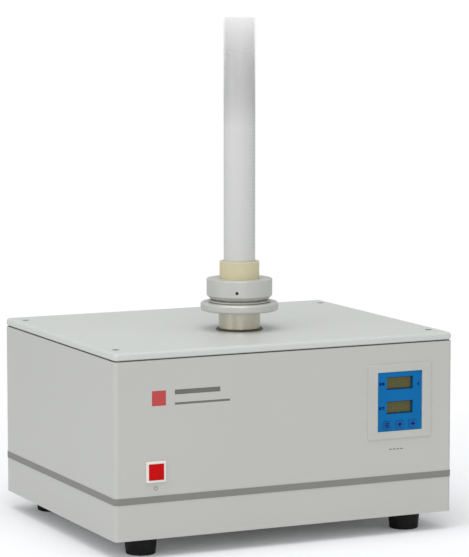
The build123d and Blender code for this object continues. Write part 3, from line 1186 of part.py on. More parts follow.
def nodes():
    """Every sub-part by its node's name."""
    feet = {
        "foot_" + ("rear" if y > 0 else "front") + ("_right" if x > 0 else "_left"): foot(x, y)
        for x, y in FOOT_PLACES
    }
    keys = dict(zip(("key_left", "key_middle", "key_right"), (key(x, z) for x, z in key_places())))
    return {
        "base_tray": base_tray(),
        "trim_band": trim_band(),
        "body_shell": body_shell(),
        "rear_panel": rear_panel(),
        "rear_panel_screws": rear_panel_screws(),
        "lid_seal": lid_seal(),
        "lid_plate": lid_plate(),
        "lid_screws": lid_screws(),
        "lid_grommet": lid_grommet(),
        **feet,
        "foot_screws": foot_screws(),
        "chassis_plate": chassis_plate(),
        "chassis_screws": chassis_screws(),
        "bridge_pillars": bridge_pillars(),
        "bridge_plate": bridge_plate(),
        "bridge_screws": bridge_screws(),
        "guide_column": guide_column(),
        "column_bushes": column_bushes(),
        "rotation_stop": rotation_stop(),
        "lift_shaft": lift_shaft(),
        "roller_fork": roller_fork(),
        "roller_pin": roller_pin(),
        "cam_roller": cam_roller(),
        "platform_flange": platform_flange(),
        "holder_collar": holder_collar(),
        "collar_set_screw": collar_set_screw(),
        "cushion_sleeve": cushion_sleeve(),
        "measuring_cylinder": measuring_cylinder(),
        "cam_shaft": cam_shaft(),
        "snail_cam": snail_cam(),
        "bearing_block_left": bearing_block(-1),
        "bearing_block_right": bearing_block(1),
        "cam_bearings": cam_bearings(),
        "cam_pulley": pulley(HOLDER_Y, CAM_PULLEY_R, CAM_SHAFT_R),
        "motor_pulley": pulley(MOTOR_Y, MOTOR_PULLEY_R, MOTOR_SHAFT_R),
        "drive_belt": drive_belt(),
        "motor_bracket": motor_bracket(),
        "gear_motor": gear_motor(),
        "motor_shaft": motor_shaft(),
        "flag_disc": flag_disc(),
        "tap_sensor": tap_sensor(),
        "power_supply": power_supply(),
        "control_board": control_board(),
        "wiring_loom": wiring_loom(),
        "inlet_socket": inlet_socket(),
        "inlet_pins": inlet_pins(),
        "fuse_drawer": fuse_drawer(),
        "switch_frame": switch_frame(),
        "power_button": power_button(),
        "counter_bezel": counter_bezel(),
        "counter_case": counter_case(),
        "counter_face": counter_face(),
        "count_display": display(COUNTER_Z + DISPLAY_UPPER_RISE),
        "preset_display": display(COUNTER_Z - DISPLAY_LOWER_DROP),
        **keys,
    }


def main():
    os.makedirs("parts", exist_ok=True)
    for name, shape in nodes().items():
        export_step(shape, os.path.join("parts", name + ".step"))


main()
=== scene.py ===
"""Dresses a bench tapped-density tester: finishes, scales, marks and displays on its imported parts."""

import logging
import math
from dataclasses import dataclass, field
from enum import Enum

import bpy
import numpy as np
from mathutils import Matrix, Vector

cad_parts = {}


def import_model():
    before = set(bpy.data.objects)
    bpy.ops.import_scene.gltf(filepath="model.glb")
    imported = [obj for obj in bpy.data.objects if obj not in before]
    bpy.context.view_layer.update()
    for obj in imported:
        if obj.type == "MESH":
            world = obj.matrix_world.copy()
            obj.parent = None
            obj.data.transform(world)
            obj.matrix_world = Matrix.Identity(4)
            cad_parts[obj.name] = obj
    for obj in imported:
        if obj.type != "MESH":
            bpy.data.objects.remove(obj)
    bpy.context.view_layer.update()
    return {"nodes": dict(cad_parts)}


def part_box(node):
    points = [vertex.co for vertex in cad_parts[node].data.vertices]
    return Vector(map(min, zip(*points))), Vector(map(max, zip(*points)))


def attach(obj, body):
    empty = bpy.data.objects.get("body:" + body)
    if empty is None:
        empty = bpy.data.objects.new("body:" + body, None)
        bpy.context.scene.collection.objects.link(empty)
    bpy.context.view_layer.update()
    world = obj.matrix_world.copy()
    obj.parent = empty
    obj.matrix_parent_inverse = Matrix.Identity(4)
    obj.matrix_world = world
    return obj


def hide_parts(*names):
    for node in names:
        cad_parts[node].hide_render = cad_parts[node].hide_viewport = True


logging.basicConfig(level=logging.INFO, format="%(name)s: %(message)s")
log = logging.getLogger("density_tester")

MM = 0.001
# How far print stands off its face
INK = 0.06 * MM
# What every shared surface group puts out
GROUP_OUTPUTS = ("Tint", "Roughness Shift", "Height")
# Turned metal: the scale of its noise across and up, and the rings' share of the tint
RING_STRETCH = (0.02, 0.02, 1.0)
RING_SHARE = 0.6

Colour = tuple[float, float, float]
Nodes = dict[str, bpy.types.Object]
Value = float | bpy.types.NodeSocket


def srgb(red: int, green: int, blue: int) -> Colour:
    """Turns a colour of 0 to 255 per channel into scene-linear values.

    Args:
        red: Red channel.
        green: Green channel.
        blue: Blue channel.

    Returns:
        The three linear values.
    """
    values = np.array([red, green, blue]) / 255.0
    linear = np.where(values <= 0.04045, values / 12.92, ((values + 0.055) / 1.055) ** 2.4)
    return tuple(float(v) for v in linear)


class Shade:
    """Short calls for placing and linking shader nodes in one tree."""

    def __init__(self, tree: bpy.types.NodeTree) -> None:
        """Keeps the tree that the nodes go into."""
        self.tree = tree

    def add(self, kind: str, **values: object) -> bpy.types.Node:
        """Adds a node and sets its properties.

        Args:
            kind: The node's type name.
            values: Properties to set on it.

        Returns:
            The new node.
        """
        node = self.tree.nodes.new(kind)
        for key, value in values.items():
            setattr(node, key, value)
        return node

    def link(self, source: bpy.types.NodeSocket, target: bpy.types.NodeSocket) -> None:
        """Links an output to an input."""
        self.tree.links.new(source, target)

    def noise(self, place: bpy.types.NodeSocket, scale: bpy.types.NodeSocket,
              detail: float = 2.0) -> bpy.types.NodeSocket:
        """Adds a noise texture.

        Args:
            place: Where the noise is read.
            scale: Its scale, in cells per metre.
            detail: Its detail.

        Returns:
            The noise value.
        """
        node = self.add("ShaderNodeTexNoise")
        node.inputs["Detail"].default_value = detail
        self.link(place, node.inputs["Vector"])
        self.link(scale, node.inputs["Scale"])
        return node.outputs["Fac"]

    def math(self, operation: str, first: Value, second: Value = 0.0) -> bpy.types.NodeSocket:
        """Adds a math node on two values or sockets.

        Args:
            operation: The math node's operation.
            first: A socket or number.
            second: A socket or number.

        Returns:
            The result socket.
        """
        node = self.add("ShaderNodeMath", operation=operation)
        for socket, value in zip(node.inputs, (first, second)):
            if isinstance(value, bpy.types.NodeSocket):
                self.link(value, socket)
            else:
                socket.default_value = value
        return node.outputs[0]

    def remap(self, value: bpy.types.NodeSocket, low: float, high: float,
              to_low: float, to_high: float) -> bpy.types.NodeSocket:
        """Maps a value from one range to another, clamped.

        Args:
            value: The socket to map.
            low: Start of the read range.
            high: End of the read range.
            to_low: Result at the start.
            to_high: Result at the end.

        Returns:
            The mapped value.
        """
        node = self.add("ShaderNodeMapRange")
        self.link(value, node.inputs["Value"])
        for name, number in (("From Min", low), ("From Max", high), ("To Min", to_low), ("To Max", to_high)):
            node.inputs[name].default_value = number
        return node.outputs["Result"]

    def mix(self, factor: bpy.types.NodeSocket, first: Colour, second: Colour) -> bpy.types.NodeSocket:
        """Mixes two colours by a factor.

        A Mix node keeps its factor at 0 and its colours at 6 and 7, and gives the mixed colour at 2.

        Args:
            factor: The mix factor.
            first: Colour at 0.
            second: Colour at 1.

        Returns:
            The mixed colour.
        """
        node = self.add("ShaderNodeMix", data_type="RGBA")
        self.link(factor, node.inputs[0])
        node.inputs[6].default_value = (*first, 1.0)
        node.inputs[7].default_value = (*second, 1.0)
        return node.outputs[2]


class SurfaceGroups:
    """The shader node groups that several finishes share, each built once."""

    def __init__(self) -> None:
        """Builds every shared group."""
        self.coat = self._coat()
        self.grain = self._grain()
        self.moulding = self._moulding()

    @staticmethod
    def _start(name: str, inputs: dict[str, float], outputs: tuple[str, ...]
               ) -> tuple[bpy.types.NodeTree, Shade, bpy.types.Node, bpy.types.Node]:
        """Makes a group with float sockets.

        Args:
            name: The group's name.
            inputs: Input names and their defaults.
            outputs: Output names.

        Returns:
            The tree, its shading helper, its input node and its output node.
        """
        tree = bpy.data.node_groups.new(name, "ShaderNodeTree")
        for key, value in inputs.items():
            socket = tree.interface.new_socket(name=key, in_out="INPUT", socket_type="NodeSocketFloat")
            socket.default_value = value
        for key in outputs:
            tree.interface.new_socket(name=key, in_out="OUTPUT", socket_type="NodeSocketFloat")
        shade = Shade(tree)
        return tree, shade, shade.add("NodeGroupInput"), shade.add("NodeGroupOutput")

    def _coat(self) -> bpy.types.NodeTree:
        """Powder coat: a fine orange-peel height, a slow tint and a roughness that wanders.

        Returns:
            The group.
        """
        tree, shade, entry, leave = self._start(
            "powder_coat", {"Peel Scale": 900.0, "Cloud Scale": 7.0}, GROUP_OUTPUTS)
        place = shade.add("ShaderNodeTexCoord").outputs["Object"]
        peel = shade.noise(place, entry.outputs["Peel Scale"], 1.5)
        cloud = shade.noise(place, entry.outputs["Cloud Scale"], 3.0)
        shade.link(shade.remap(cloud, 0.3, 0.7, 0.0, 1.0), leave.inputs["Tint"])
        shade.link(shade.remap(cloud, 0.3, 0.7, -0.04, 0.04), leave.inputs["Roughness Shift"])
        shade.link(peel, leave.inputs["Height"])
        return tree

    def _grain(self) -> bpy.types.NodeTree:
        """Turned or ground metal: rings round Z, from noise that changes mostly with height, and a blotch.

        Returns:
            The group.
        """
        tree, shade, entry, leave = self._start(
            "turned_grain", {"Ring Scale": 2500.0, "Blotch Scale": 60.0}, GROUP_OUTPUTS)
        place = shade.add("ShaderNodeTexCoord").outputs["Object"]
        stretch = shade.add("ShaderNodeMapping")
        stretch.inputs["Scale"].default_value = RING_STRETCH
        shade.link(place, stretch.inputs["Vector"])
        rings = shade.noise(stretch.outputs["Vector"], entry.outputs["Ring Scale"], 3.0)
        blotch = shade.noise(place, entry.outputs["Blotch Scale"])
        both = shade.math("ADD", shade.math("MULTIPLY", rings, RING_SHARE),
                          shade.math("MULTIPLY", blotch, 1.0 - RING_SHARE))
        shade.link(shade.remap(both, 0.35, 0.65, 0.0, 1.0), leave.inputs["Tint"])
        shade.link(shade.remap(both, 0.35, 0.65, -0.07, 0.07), leave.inputs["Roughness Shift"])
        shade.link(rings, leave.inputs["Height"])
        return tree

    def _moulding(self) -> bpy.types.NodeTree:
        """Moulded plastic or rubber: a soft cloud of tint and gloss, and a fine spark-eroded height.

        Returns:
            The group.
        """
        tree, shade, entry, leave = self._start(
            "moulded_skin", {"Speck Scale": 1600.0, "Cloud Scale": 30.0}, GROUP_OUTPUTS)
        place = shade.add("ShaderNodeTexCoord").outputs["Object"]
        speck = shade.noise(place, entry.outputs["Speck Scale"])
        cloud = shade.noise(place, entry.outputs["Cloud Scale"])
        shade.link(shade.remap(cloud, 0.35, 0.65, 0.0, 1.0), leave.inputs["Tint"])
        shade.link(shade.remap(cloud, 0.35, 0.65, -0.05, 0.05), leave.inputs["Roughness Shift"])
        shade.link(speck, leave.inputs["Height"])
        return tree


class Texture(Enum):
    """Which shared surface group a finish uses."""

    COAT = "coat"
    GRAIN = "grain"
    MOULDING = "moulding"


@dataclass(frozen=True)
class Finish:
    """An opaque finish: its colour, how far the colour wanders, its gloss and its fine relief."""

    name: str
    colour: Colour
    roughness: float
    texture: Texture
    metallic: float = 0.0
    wander: float = 0.04
    relief: float = 0.15
    relief_depth: float = 0.04 * MM
    coat: float = 0.0
    specular: float = 0.5

    def material(self, groups: SurfaceGroups) -> bpy.types.Material:
        """Builds the material.

        Args:
            groups: The shared surface groups.

        Returns:
            The finished material.
        """
        material = bpy.data.materials.new(self.name)
        material.use_nodes = True
        shade = Shade(material.node_tree)
        body = material.node_tree.nodes["Principled BSDF"]
        body.inputs["Metallic"].default_value = self.metallic
        body.inputs["Coat Weight"].default_value = self.coat
        body.inputs["Specular IOR Level"].default_value = self.specular
        skin = shade.add("ShaderNodeGroup")
        skin.node_tree = getattr(groups, self.texture.value)
        darker = tuple(c * (1.0 - self.wander) for c in self.colour)
        lighter = tuple(min(1.0, c * (1.0 + self.wander)) for c in self.colour)
        shade.link(shade.mix(skin.outputs["Tint"], darker, lighter), body.inputs["Base Color"])
        rough = shade.math("ADD", skin.outputs["Roughness Shift"], self.roughness)
        shade.link(rough, body.inputs["Roughness"])
        bump = shade.add("ShaderNodeBump")
        bump.inputs["Strength"].default_value = self.relief
        bump.inputs["Distance"].default_value = self.relief_depth
        shade.link(skin.outputs["Height"], bump.inputs["Height"])
        shade.link(bump.outputs["Normal"], body.inputs["Normal"])
        return material


@dataclass(frozen=True)
class TubeFinish:
    """The cylinder's milky wall, which clears towards the mouth."""

    name: str
    colour: Colour
    low: float
    high: float
    alpha_low: float
    alpha_high: float
    roughness: float = 0.22
    refraction: float = 1.47
    cloud_scale: float = 18.0
    wander: float = 0.03

    def material(self, groups: SurfaceGroups) -> bpy.types.Material:
        """Builds the material.

        Args:
            groups: The shared surface groups.

        Returns:
            The finished material.
        """
        material = bpy.data.materials.new(self.name)
        material.use_nodes = True
        shade = Shade(material.node_tree)
        body = material.node_tree.nodes["Principled BSDF"]
        body.inputs["IOR"].default_value = self.refraction
        skin = shade.add("ShaderNodeGroup")
        skin.node_tree = groups.moulding
        skin.inputs["Cloud Scale"].default_value = self.cloud_scale
        darker = tuple(c * (1.0 - self.wander) for c in self.colour)
        shade.link(shade.mix(skin.outputs["Tint"], darker, self.colour), body.inputs["Base Color"])
        rough = shade.math("ADD", skin.outputs["Roughness Shift"], self.roughness)
        shade.link(rough, body.inputs["Roughness"])
        place = shade.add("ShaderNodeTexCoord").outputs["Object"]
        split = shade.add("ShaderNodeSeparateXYZ")
        shade.link(place, split.inputs[0])
        alpha = shade.remap(split.outputs["Z"], self.low, self.high, self.alpha_low, self.alpha_high)
        shade.link(alpha, body.inputs["Alpha"])
        return material


class Surface:
    """Meshes worked out as whole arrays."""

    @staticmethod
    def rounded(points: list[tuple[float, float]], radii: list[float], steps: int = 5) -> np.ndarray:
        """Rounds the corners of an open outline: each corner becomes an arc that touches both its sides.

        Seen from its centre, the arc's point at share s is the start times sin((1 - s) a) plus the end times
        sin(s a), over sin a, where a is the arc's angle.

        Args:
            points: The outline's corners.
            radii: One radius for each corner; the ends take 0.
            steps: Points on each arc.

        Returns:
            The rounded outline, one row per point.
        """
        corners = [np.array(p, float) for p in points]
        rows: list[np.ndarray] = []
        for index, (corner, radius) in enumerate(zip(corners, radii)):
            if radius <= 0 or index in (0, len(corners) - 1):
                rows.append(corner[None, :])
                continue
            before = corners[index - 1] - corner
            after = corners[index + 1] - corner
            before /= np.linalg.norm(before)
            after /= np.linalg.norm(after)
            half = math.acos(float(np.clip(before @ after, -1, 1))) / 2
            reach = radius / math.tan(half)
            middle = before + after
            centre = corner + middle / np.linalg.norm(middle) * radius / math.sin(half)
            start = corner + before * reach - centre
            end = corner + after * reach - centre
            sweep = math.acos(float(np.clip(start @ end / radius ** 2, -1, 1)))
            share = np.linspace(0, 1, steps)[:, None]
            arc = (np.sin((1 - share) * sweep) * start + np.sin(share * sweep) * end) / math.sin(sweep)
            rows.append(centre + arc)
        return np.vstack(rows)

    @staticmethod
    def mesh(name: str, verts: np.ndarray, *faces: np.ndarray, smooth_deg: float = 35.0) -> bpy.types.Object:
        """Makes an object from vertices and faces and shades it smooth below an angle.

        Args:
            name: The object's name.
            verts: Vertex places, one row each.
            faces: Vertex numbers, one row for each face; triangles and quads come in arrays of their own.
            smooth_deg: Edges sharper than this stay sharp.

        Returns:
            The linked object.
        """
        data = bpy.data.meshes.new(name)
        rows = [row for group in faces for row in group.reshape(-1, group.shape[-1]).tolist()]
        data.from_pydata(verts.reshape(-1, 3).tolist(), [], rows)
        data.update()
        data.shade_smooth()
        data.set_sharp_from_angle(angle=math.radians(smooth_deg))
        thing = bpy.data.objects.new(name, data)
        bpy.context.scene.collection.objects.link(thing)
        return thing

    @staticmethod
    def turned(name: str, outline: np.ndarray, centre: tuple[float, float],
               segments: int = 144) -> bpy.types.Object:
        """Turns an outline of radius and height about a vertical axis.

        A point (r, z) of the outline goes to (r cos t, r sin t, z) for each angle t. The outline starts and
        ends on the axis, and a fan of triangles round one point closes the surface there.

        Args:
            name: The object's name.
            outline: Radius and height, one row per point.
            centre: The axis in X and Y.
            segments: Steps round the axis.

        Returns:
            The linked object.
        """
        angle = np.linspace(0, 2 * np.pi, segments, endpoint=False)
        rings = outline[1:-1]
        radius = rings[:, 0][:, None]
        grid = np.stack([
            centre[0] + radius * np.cos(angle)[None, :],
            centre[1] + radius * np.sin(angle)[None, :],
            np.broadcast_to(rings[:, 1][:, None], (len(rings), segments)),
        ], axis=-1)
        poles = np.array([[*centre, outline[0, 1]], [*centre, outline[-1, 1]]])
        verts = np.vstack([grid.reshape(-1, 3), poles])
        row = np.arange(len(rings) - 1)[:, None] * segments
        col = np.arange(segments)
        next_col = (col + 1) % segments
        walls = np.stack([
            row + col, row + next_col,
            row + segments + next_col, row + segments + col,
        ], axis=-1)
        last = (len(rings) - 1) * segments
        first_pole, last_pole = (np.full(segments, len(verts) - back) for back in (2, 1))
        fans = np.vstack([
            np.column_stack([first_pole, next_col, col]),
            np.column_stack([last + col, last + next_col, last_pole]),
        ])
        return Surface.mesh(name, verts, walls, fans)

    @staticmethod
    def slabs(name: str, rows: np.ndarray) -> bpy.types.Object:
        """Makes many thin boxes as one mesh: each corner takes its X, Y and Z from the box's six numbers.

        Args:
            name: The object's name.
            rows: For each box its lowest and highest corner, six numbers.

        Returns:
            The linked object.
        """
        pick = np.array([[0, 1, 2], [3, 1, 2], [3, 4, 2], [0, 4, 2],
                         [0, 1, 5], [3, 1, 5], [3, 4, 5], [0, 4, 5]])
        verts = rows[:, pick]
        sides = np.array([[0, 3, 2, 1], [4, 5, 6, 7], [0, 1, 5, 4], [1, 2, 6, 5], [2, 3, 7, 6], [3, 0, 4, 7]])
        faces = sides[None, :, :] + 8 * np.arange(len(rows))[:, None, None]
        return Surface.mesh(name, verts, faces, smooth_deg=20.0)


@dataclass(frozen=True)
class Lamp:
    """A square area lamp: where it hangs, its side, its power in watts and its colour."""

    name: str
    place: tuple[float, float, float]
    size: float
    power: float
    colour: Colour

    def build(self, aim: Vector) -> None:
        """Hangs the lamp.

        Args:
            aim: What it points at.
        """
        data = bpy.data.lights.new(self.name, "AREA")
        data.size = self.size
        data.energy = self.power
        data.color = self.colour
        lamp = bpy.data.objects.new(self.name, data)
        lamp.location = self.place
        lamp.rotation_mode = "QUATERNION"
        lamp.rotation_quaternion = (aim - Vector(self.place)).to_track_quat("-Z", "Y")
        bpy.context.scene.collection.objects.link(lamp)


@dataclass
class Studio:
    """The floor, the lamps, the white surroundings and the camera.

    Places and the floor's sizes are in metres, angles in degrees, and the lens and its sensor in millimetres.
    The floor is whole near the tester, and clears between floor_keeps and floor_gone for the camera.
    """

    target: tuple[float, float, float] = (0.01069, 0.0, 0.23779)
    azimuth: float = -25.135
    elevation: float = 6.624
    distance: float = 2.73366
    lens: float = 180.196
    sensor: float = 36.0
    far: float = 100.0
    floor_half: float = 12.0
    floor_glow: float = 0.05
    floor_keeps: float = 0.30
    floor_gone: float = 0.75
    floor_colour: Colour = (0.90, 0.91, 0.93)
    floor_roughness: float = 0.9
    floor_specular: float = 0.1
    world_colour: Colour = (0.97, 0.985, 1.0)
    world_strength: float = 0.62
    lamps: tuple[Lamp, ...] = (
        Lamp("overhead_lamp", (-0.5, -0.6, 2.6), 2.2, 36.0, (1.0, 0.995, 0.985)),
        Lamp("front_lamp", (-1.2, -3.0, 1.4), 1.8, 14.5, (1.0, 0.99, 0.97)),
        Lamp("left_lamp", (-3.0, -0.6, 1.2), 1.8, 11.5, (0.97, 0.985, 1.0)),
    )

    def camera(self) -> None:
        """Stands the camera where the photograph was taken from."""
        turn, lift = math.radians(self.azimuth), math.radians(self.elevation)
        back = Vector((math.sin(turn) * math.cos(lift), -math.cos(turn) * math.cos(lift), math.sin(lift)))
        data = bpy.data.cameras.new("camera")
        data.sensor_width = self.sensor
        data.lens = self.lens
        data.clip_end = self.far
        camera = bpy.data.objects.new("camera", data)
        camera.location = Vector(self.target) + back * self.distance
        camera.rotation_mode = "QUATERNION"
        camera.rotation_quaternion = (-back).to_track_quat("-Z", "Y")
        bpy.context.scene.collection.objects.link(camera)
        bpy.context.scene.camera = camera

    def surroundings(self) -> None:
        """Makes the world white to the eye and through clear pieces, and a soft even light otherwise."""
        world = bpy.data.worlds.new("surroundings")
        bpy.context.scene.world = world
        world.use_nodes = True
        shade = Shade(world.node_tree)
        light = world.node_tree.nodes["Background"]
        light.inputs["Color"].default_value = (*self.world_colour, 1.0)
        light.inputs["Strength"].default_value = self.world_strength
        white = shade.add("ShaderNodeBackground")
        white.inputs["Color"].default_value = (1.0, 1.0, 1.0, 1.0)
        white.inputs["Strength"].default_value = 1.0
        path = shade.add("ShaderNodeLightPath")
        seen = shade.math("MAXIMUM", path.outputs["Is Camera Ray"], path.outputs["Is Transmission Ray"])
        mix = shade.add("ShaderNodeMixShader")
        shade.link(seen, mix.inputs["Fac"])
        shade.link(light.outputs["Background"], mix.inputs[1])
        shade.link(white.outputs["Background"], mix.inputs[2])
        out = world.node_tree.nodes["World Output"]
        shade.link(mix.outputs["Shader"], out.inputs["Surface"])

    def floor(self) -> None:
        """Lays a pale floor that keeps the object's shadow and meets the white background."""
        half = self.floor_half
        verts = np.array([[-half, -half, 0], [half, -half, 0], [half, half, 0], [-half, half, 0]], float)
        floor = Surface.mesh("floor", verts, np.array([[0, 1, 2, 3]]))
        material = bpy.data.materials.new("pale_floor")
        material.use_nodes = True
        shade = Shade(material.node_tree)
        body = material.node_tree.nodes["Principled BSDF"]
        body.inputs["Base Color"].default_value = (*self.floor_colour, 1.0)
        body.inputs["Roughness"].default_value = self.floor_roughness
        body.inputs["Specular IOR Level"].default_value = self.floor_specular
        body.inputs["Emission Color"].default_value = (1.0, 1.0, 1.0, 1.0)
        path = shade.add("ShaderNodeLightPath")
        seen = shade.math("MULTIPLY", path.outputs["Is Camera Ray"], self.floor_glow)
        shade.link(seen, body.inputs["Emission Strength"])
        away = shade.add("ShaderNodeVectorMath", operation="LENGTH")
        shade.link(shade.add("ShaderNodeTexCoord").outputs["Object"], away.inputs[0])
        fade = shade.remap(away.outputs["Value"], self.floor_keeps, self.floor_gone, 0.0, 1.0)
        clear = shade.math("MULTIPLY", fade, path.outputs["Is Camera Ray"])
        shade.link(shade.math("SUBTRACT", 1.0, clear), body.inputs["Alpha"])
        floor.data.materials.append(material)

    def build(self) -> None:
        """Sets up the camera, the light and the floor."""
        self.camera()
        self.surroundings()
        self.floor()
        for lamp in self.lamps:
            lamp.build(Vector(self.target))
            log.info("%s hung", lamp.name)
        bpy.context.scene.view_settings.view_transform = "Standard"


@dataclass
class FinishBook:
    """Every finish of the tester, made into materials once.

    The cylinder's wall clears from a height above its foot to a height past its mouth, in millimetres.
    """

    groups: SurfaceGroups
    clears_above_foot: float = 160.0
    clears_past_mouth: float = 10.0
    made: dict[str, bpy.types.Material] = field(default_factory=dict)

    @staticmethod
    def finishes() -> list[Finish]:
        """Lists the opaque finishes.

        Returns:
            One entry for each finish.
        """
        coat, grain, mould = Texture.COAT, Texture.GRAIN, Texture.MOULDING
        return [
            Finish("case_coat", srgb(187, 187, 182), 0.46, coat, wander=0.012, relief=0.10),
            # The lid wears the case's paint made lighter: the brightness that light from above gives its top
            # is painted into this colour.
            Finish("lid_coat_painted_light", srgb(199, 202, 198), 0.40, coat, wander=0.012, relief=0.10),
            Finish("band_coat", srgb(126, 126, 121), 0.55, coat, wander=0.03),
            Finish("foot_rubber", srgb(16, 16, 17), 0.7, mould, wander=0.15, relief=0.4, specular=0.25),
            Finish("seal_foam", srgb(96, 94, 88), 0.9, mould),
            Finish("grommet_rubber", srgb(82, 68, 46), 0.5, mould),
            Finish("black_oxide", srgb(44, 44, 44), 0.42, mould, metallic=0.6),
            Finish("zinc_plate", srgb(176, 176, 172), 0.36, grain, metallic=1.0, wander=0.06),
            # The column's steel grey, warmed to stand in for the lid's warm reflection in it: partly steel's
            # own colour, partly painted reflection.
            Finish("ground_steel", srgb(200, 195, 180), 0.32, grain, metallic=0.85, wander=0.02),
            Finish("anodised_metal", srgb(194, 194, 189), 0.38, grain, metallic=0.3, wander=0.015),
            Finish("amber_resin", srgb(203, 194, 160), 0.4, mould, wander=0.05, coat=0.1, specular=0.3),
            Finish("bright_steel", srgb(186, 186, 184), 0.22, grain, metallic=1.0, wander=0.05),
            Finish("milled_aluminium", srgb(186, 188, 190), 0.34, grain, metallic=1.0, wander=0.05),
            Finish("bronze", srgb(176, 132, 72), 0.34, grain, metallic=1.0, wander=0.06),
            Finish("motor_paint", srgb(58, 60, 62), 0.4, coat),
            Finish("black_plastic", srgb(30, 30, 31), 0.5, mould, wander=0.08),
            Finish("board_mask", srgb(18, 92, 46), 0.35, mould),
            Finish("pin_nickel", srgb(200, 196, 182), 0.25, grain, metallic=1.0),
            Finish("switch_plastic", srgb(226, 221, 214), 0.4, mould, wander=0.02, relief=0.08),
            Finish("button_red", srgb(190, 2, 4), 0.4, mould, wander=0.05, relief=0.05, specular=0.1),
            Finish("bezel_plastic", srgb(186, 186, 180), 0.45, mould, wander=0.02, relief=0.1),
            Finish("face_blue", srgb(0, 104, 166), 0.5, mould, wander=0.04, relief=0.04, specular=0.12),
            Finish("display_olive", srgb(92, 88, 50), 0.3, mould, wander=0.08, relief=0.02, specular=0.25),
            Finish("display_ghost", srgb(80, 77, 44), 0.35, mould, wander=0.05, specular=0.2),
            # Dark frame round each display's glass: partly the glass's own border, partly painted shadow
            # where the window's recess shades it.
            Finish("display_rim_painted_shadow", srgb(16, 46, 52), 0.4, mould),
            Finish("key_blue", srgb(4, 88, 150), 0.42, mould, wander=0.06, specular=0.25),
            Finish("mark_navy", srgb(0, 30, 104), 0.6, mould, specular=0.05),
            Finish("mark_grey", srgb(104, 104, 99), 0.6, mould, wander=0.08),
            Finish("mark_red", srgb(186, 62, 60), 0.5, mould, wander=0.05),
            Finish("scale_ink", srgb(150, 152, 152), 0.5, mould, wander=0.1),
        ]

    def build(self) -> None:
        """Makes every material."""
        for finish in self.finishes():
            self.made[finish.name] = finish.material(self.groups)
        low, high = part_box("measuring_cylinder")
        start, end = low.z + self.clears_above_foot * MM, high.z + self.clears_past_mouth * MM
        tube = TubeFinish("milky_tube", srgb(205, 205, 203), start, end, 0.98, 0.02)
        self.made[tube.name] = tube.material(self.groups)

    def paint(self, thing: bpy.types.Object, name: str) -> bpy.types.Object:
        """Gives a piece one finish all over.

        Args:
            thing: The piece.
            name: The finish's name.

        Returns:
            The piece.
        """
        thing.data.materials.clear()
        thing.data.materials.append(self.made[name])
        return thing


@dataclass(frozen=True)
class Stroke:
    """One flat bar of a mark, in millimetres across and up from the mark's middle."""

    x: float
    z: float
    width: float
    height: float


class Glyph(Enum):
    """Plain marks, each a set of flat bars: across, up, width and height in millimetres."""

    MENU = ((0, 1.6, 4.4, 0.8), (0, 0, 4.4, 0.8), (0, -1.6, 4.4, 0.8))
    UP = ((0, 1.7, 0.9, 0.9), (0, 0.8, 2.4, 0.9), (0, -0.1, 3.9, 0.9), (0, -1.4, 0.9, 1.8))
    NEXT = ((1.7, 0, 0.9, 0.9), (0.8, 0, 0.9, 2.4), (-0.1, 0, 0.9, 3.9), (-1.5, 0, 1.8, 0.9))
    COUNT = ((-1.7, 0, 2.2, 2.6), (1.5, 0, 2.8, 2.6))
    PRESET = ((-1.7, 0, 2.2, 2.6), (1.5, 0.7, 2.8, 1.2), (1.5, -0.9, 2.8, 0.8))
    POINTER = ((0, 0, 0.9, 3.0), (-0.9, 0, 0.9, 1.4))
    CAPTION = ((-6.0, 0, 2.6, 1.0), (-2.0, 0, 2.6, 1.0), (2.0, 0, 2.6, 1.0), (6.0, 0, 2.6, 1.0))

    def strokes(self) -> list[Stroke]:
        """Gives the glyph's bars.

        Returns:
            One stroke for each bar.
        """
        return [Stroke(*row) for row in self.value]


@dataclass(frozen=True)
class FrontMark:
    """A thin printed mark on a face that looks to the front.

    The centre is X and Z in metres, and face_y is the Y of the face it is printed on.
    """

    name: str
    glyph: Glyph
    centre: tuple[float, float]
    face_y: float
    finish: str
    slot: str
    body: str = "root"
    sunk_share: float = 0.2

    def build(self, book: FinishBook) -> bpy.types.Object:
        """Makes the bars as one mesh that rides on its body.

        Args:
            book: The finishes.

        Returns:
            The piece.
        """
        x, z = self.centre
        front, back = self.face_y - INK, self.face_y + self.sunk_share * INK
        rows = np.array([
            [x + (bar.x - bar.width / 2) * MM, front, z + (bar.z - bar.height / 2) * MM,
             x + (bar.x + bar.width / 2) * MM, back, z + (bar.z + bar.height / 2) * MM]
            for bar in self.glyph.strokes()
        ])
        piece = Surface.slabs(self.name, rows)
        book.paint(piece, self.finish)
        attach(piece, self.body)
        log.info("%s printed with %d bars", self.name, len(rows))
        return piece


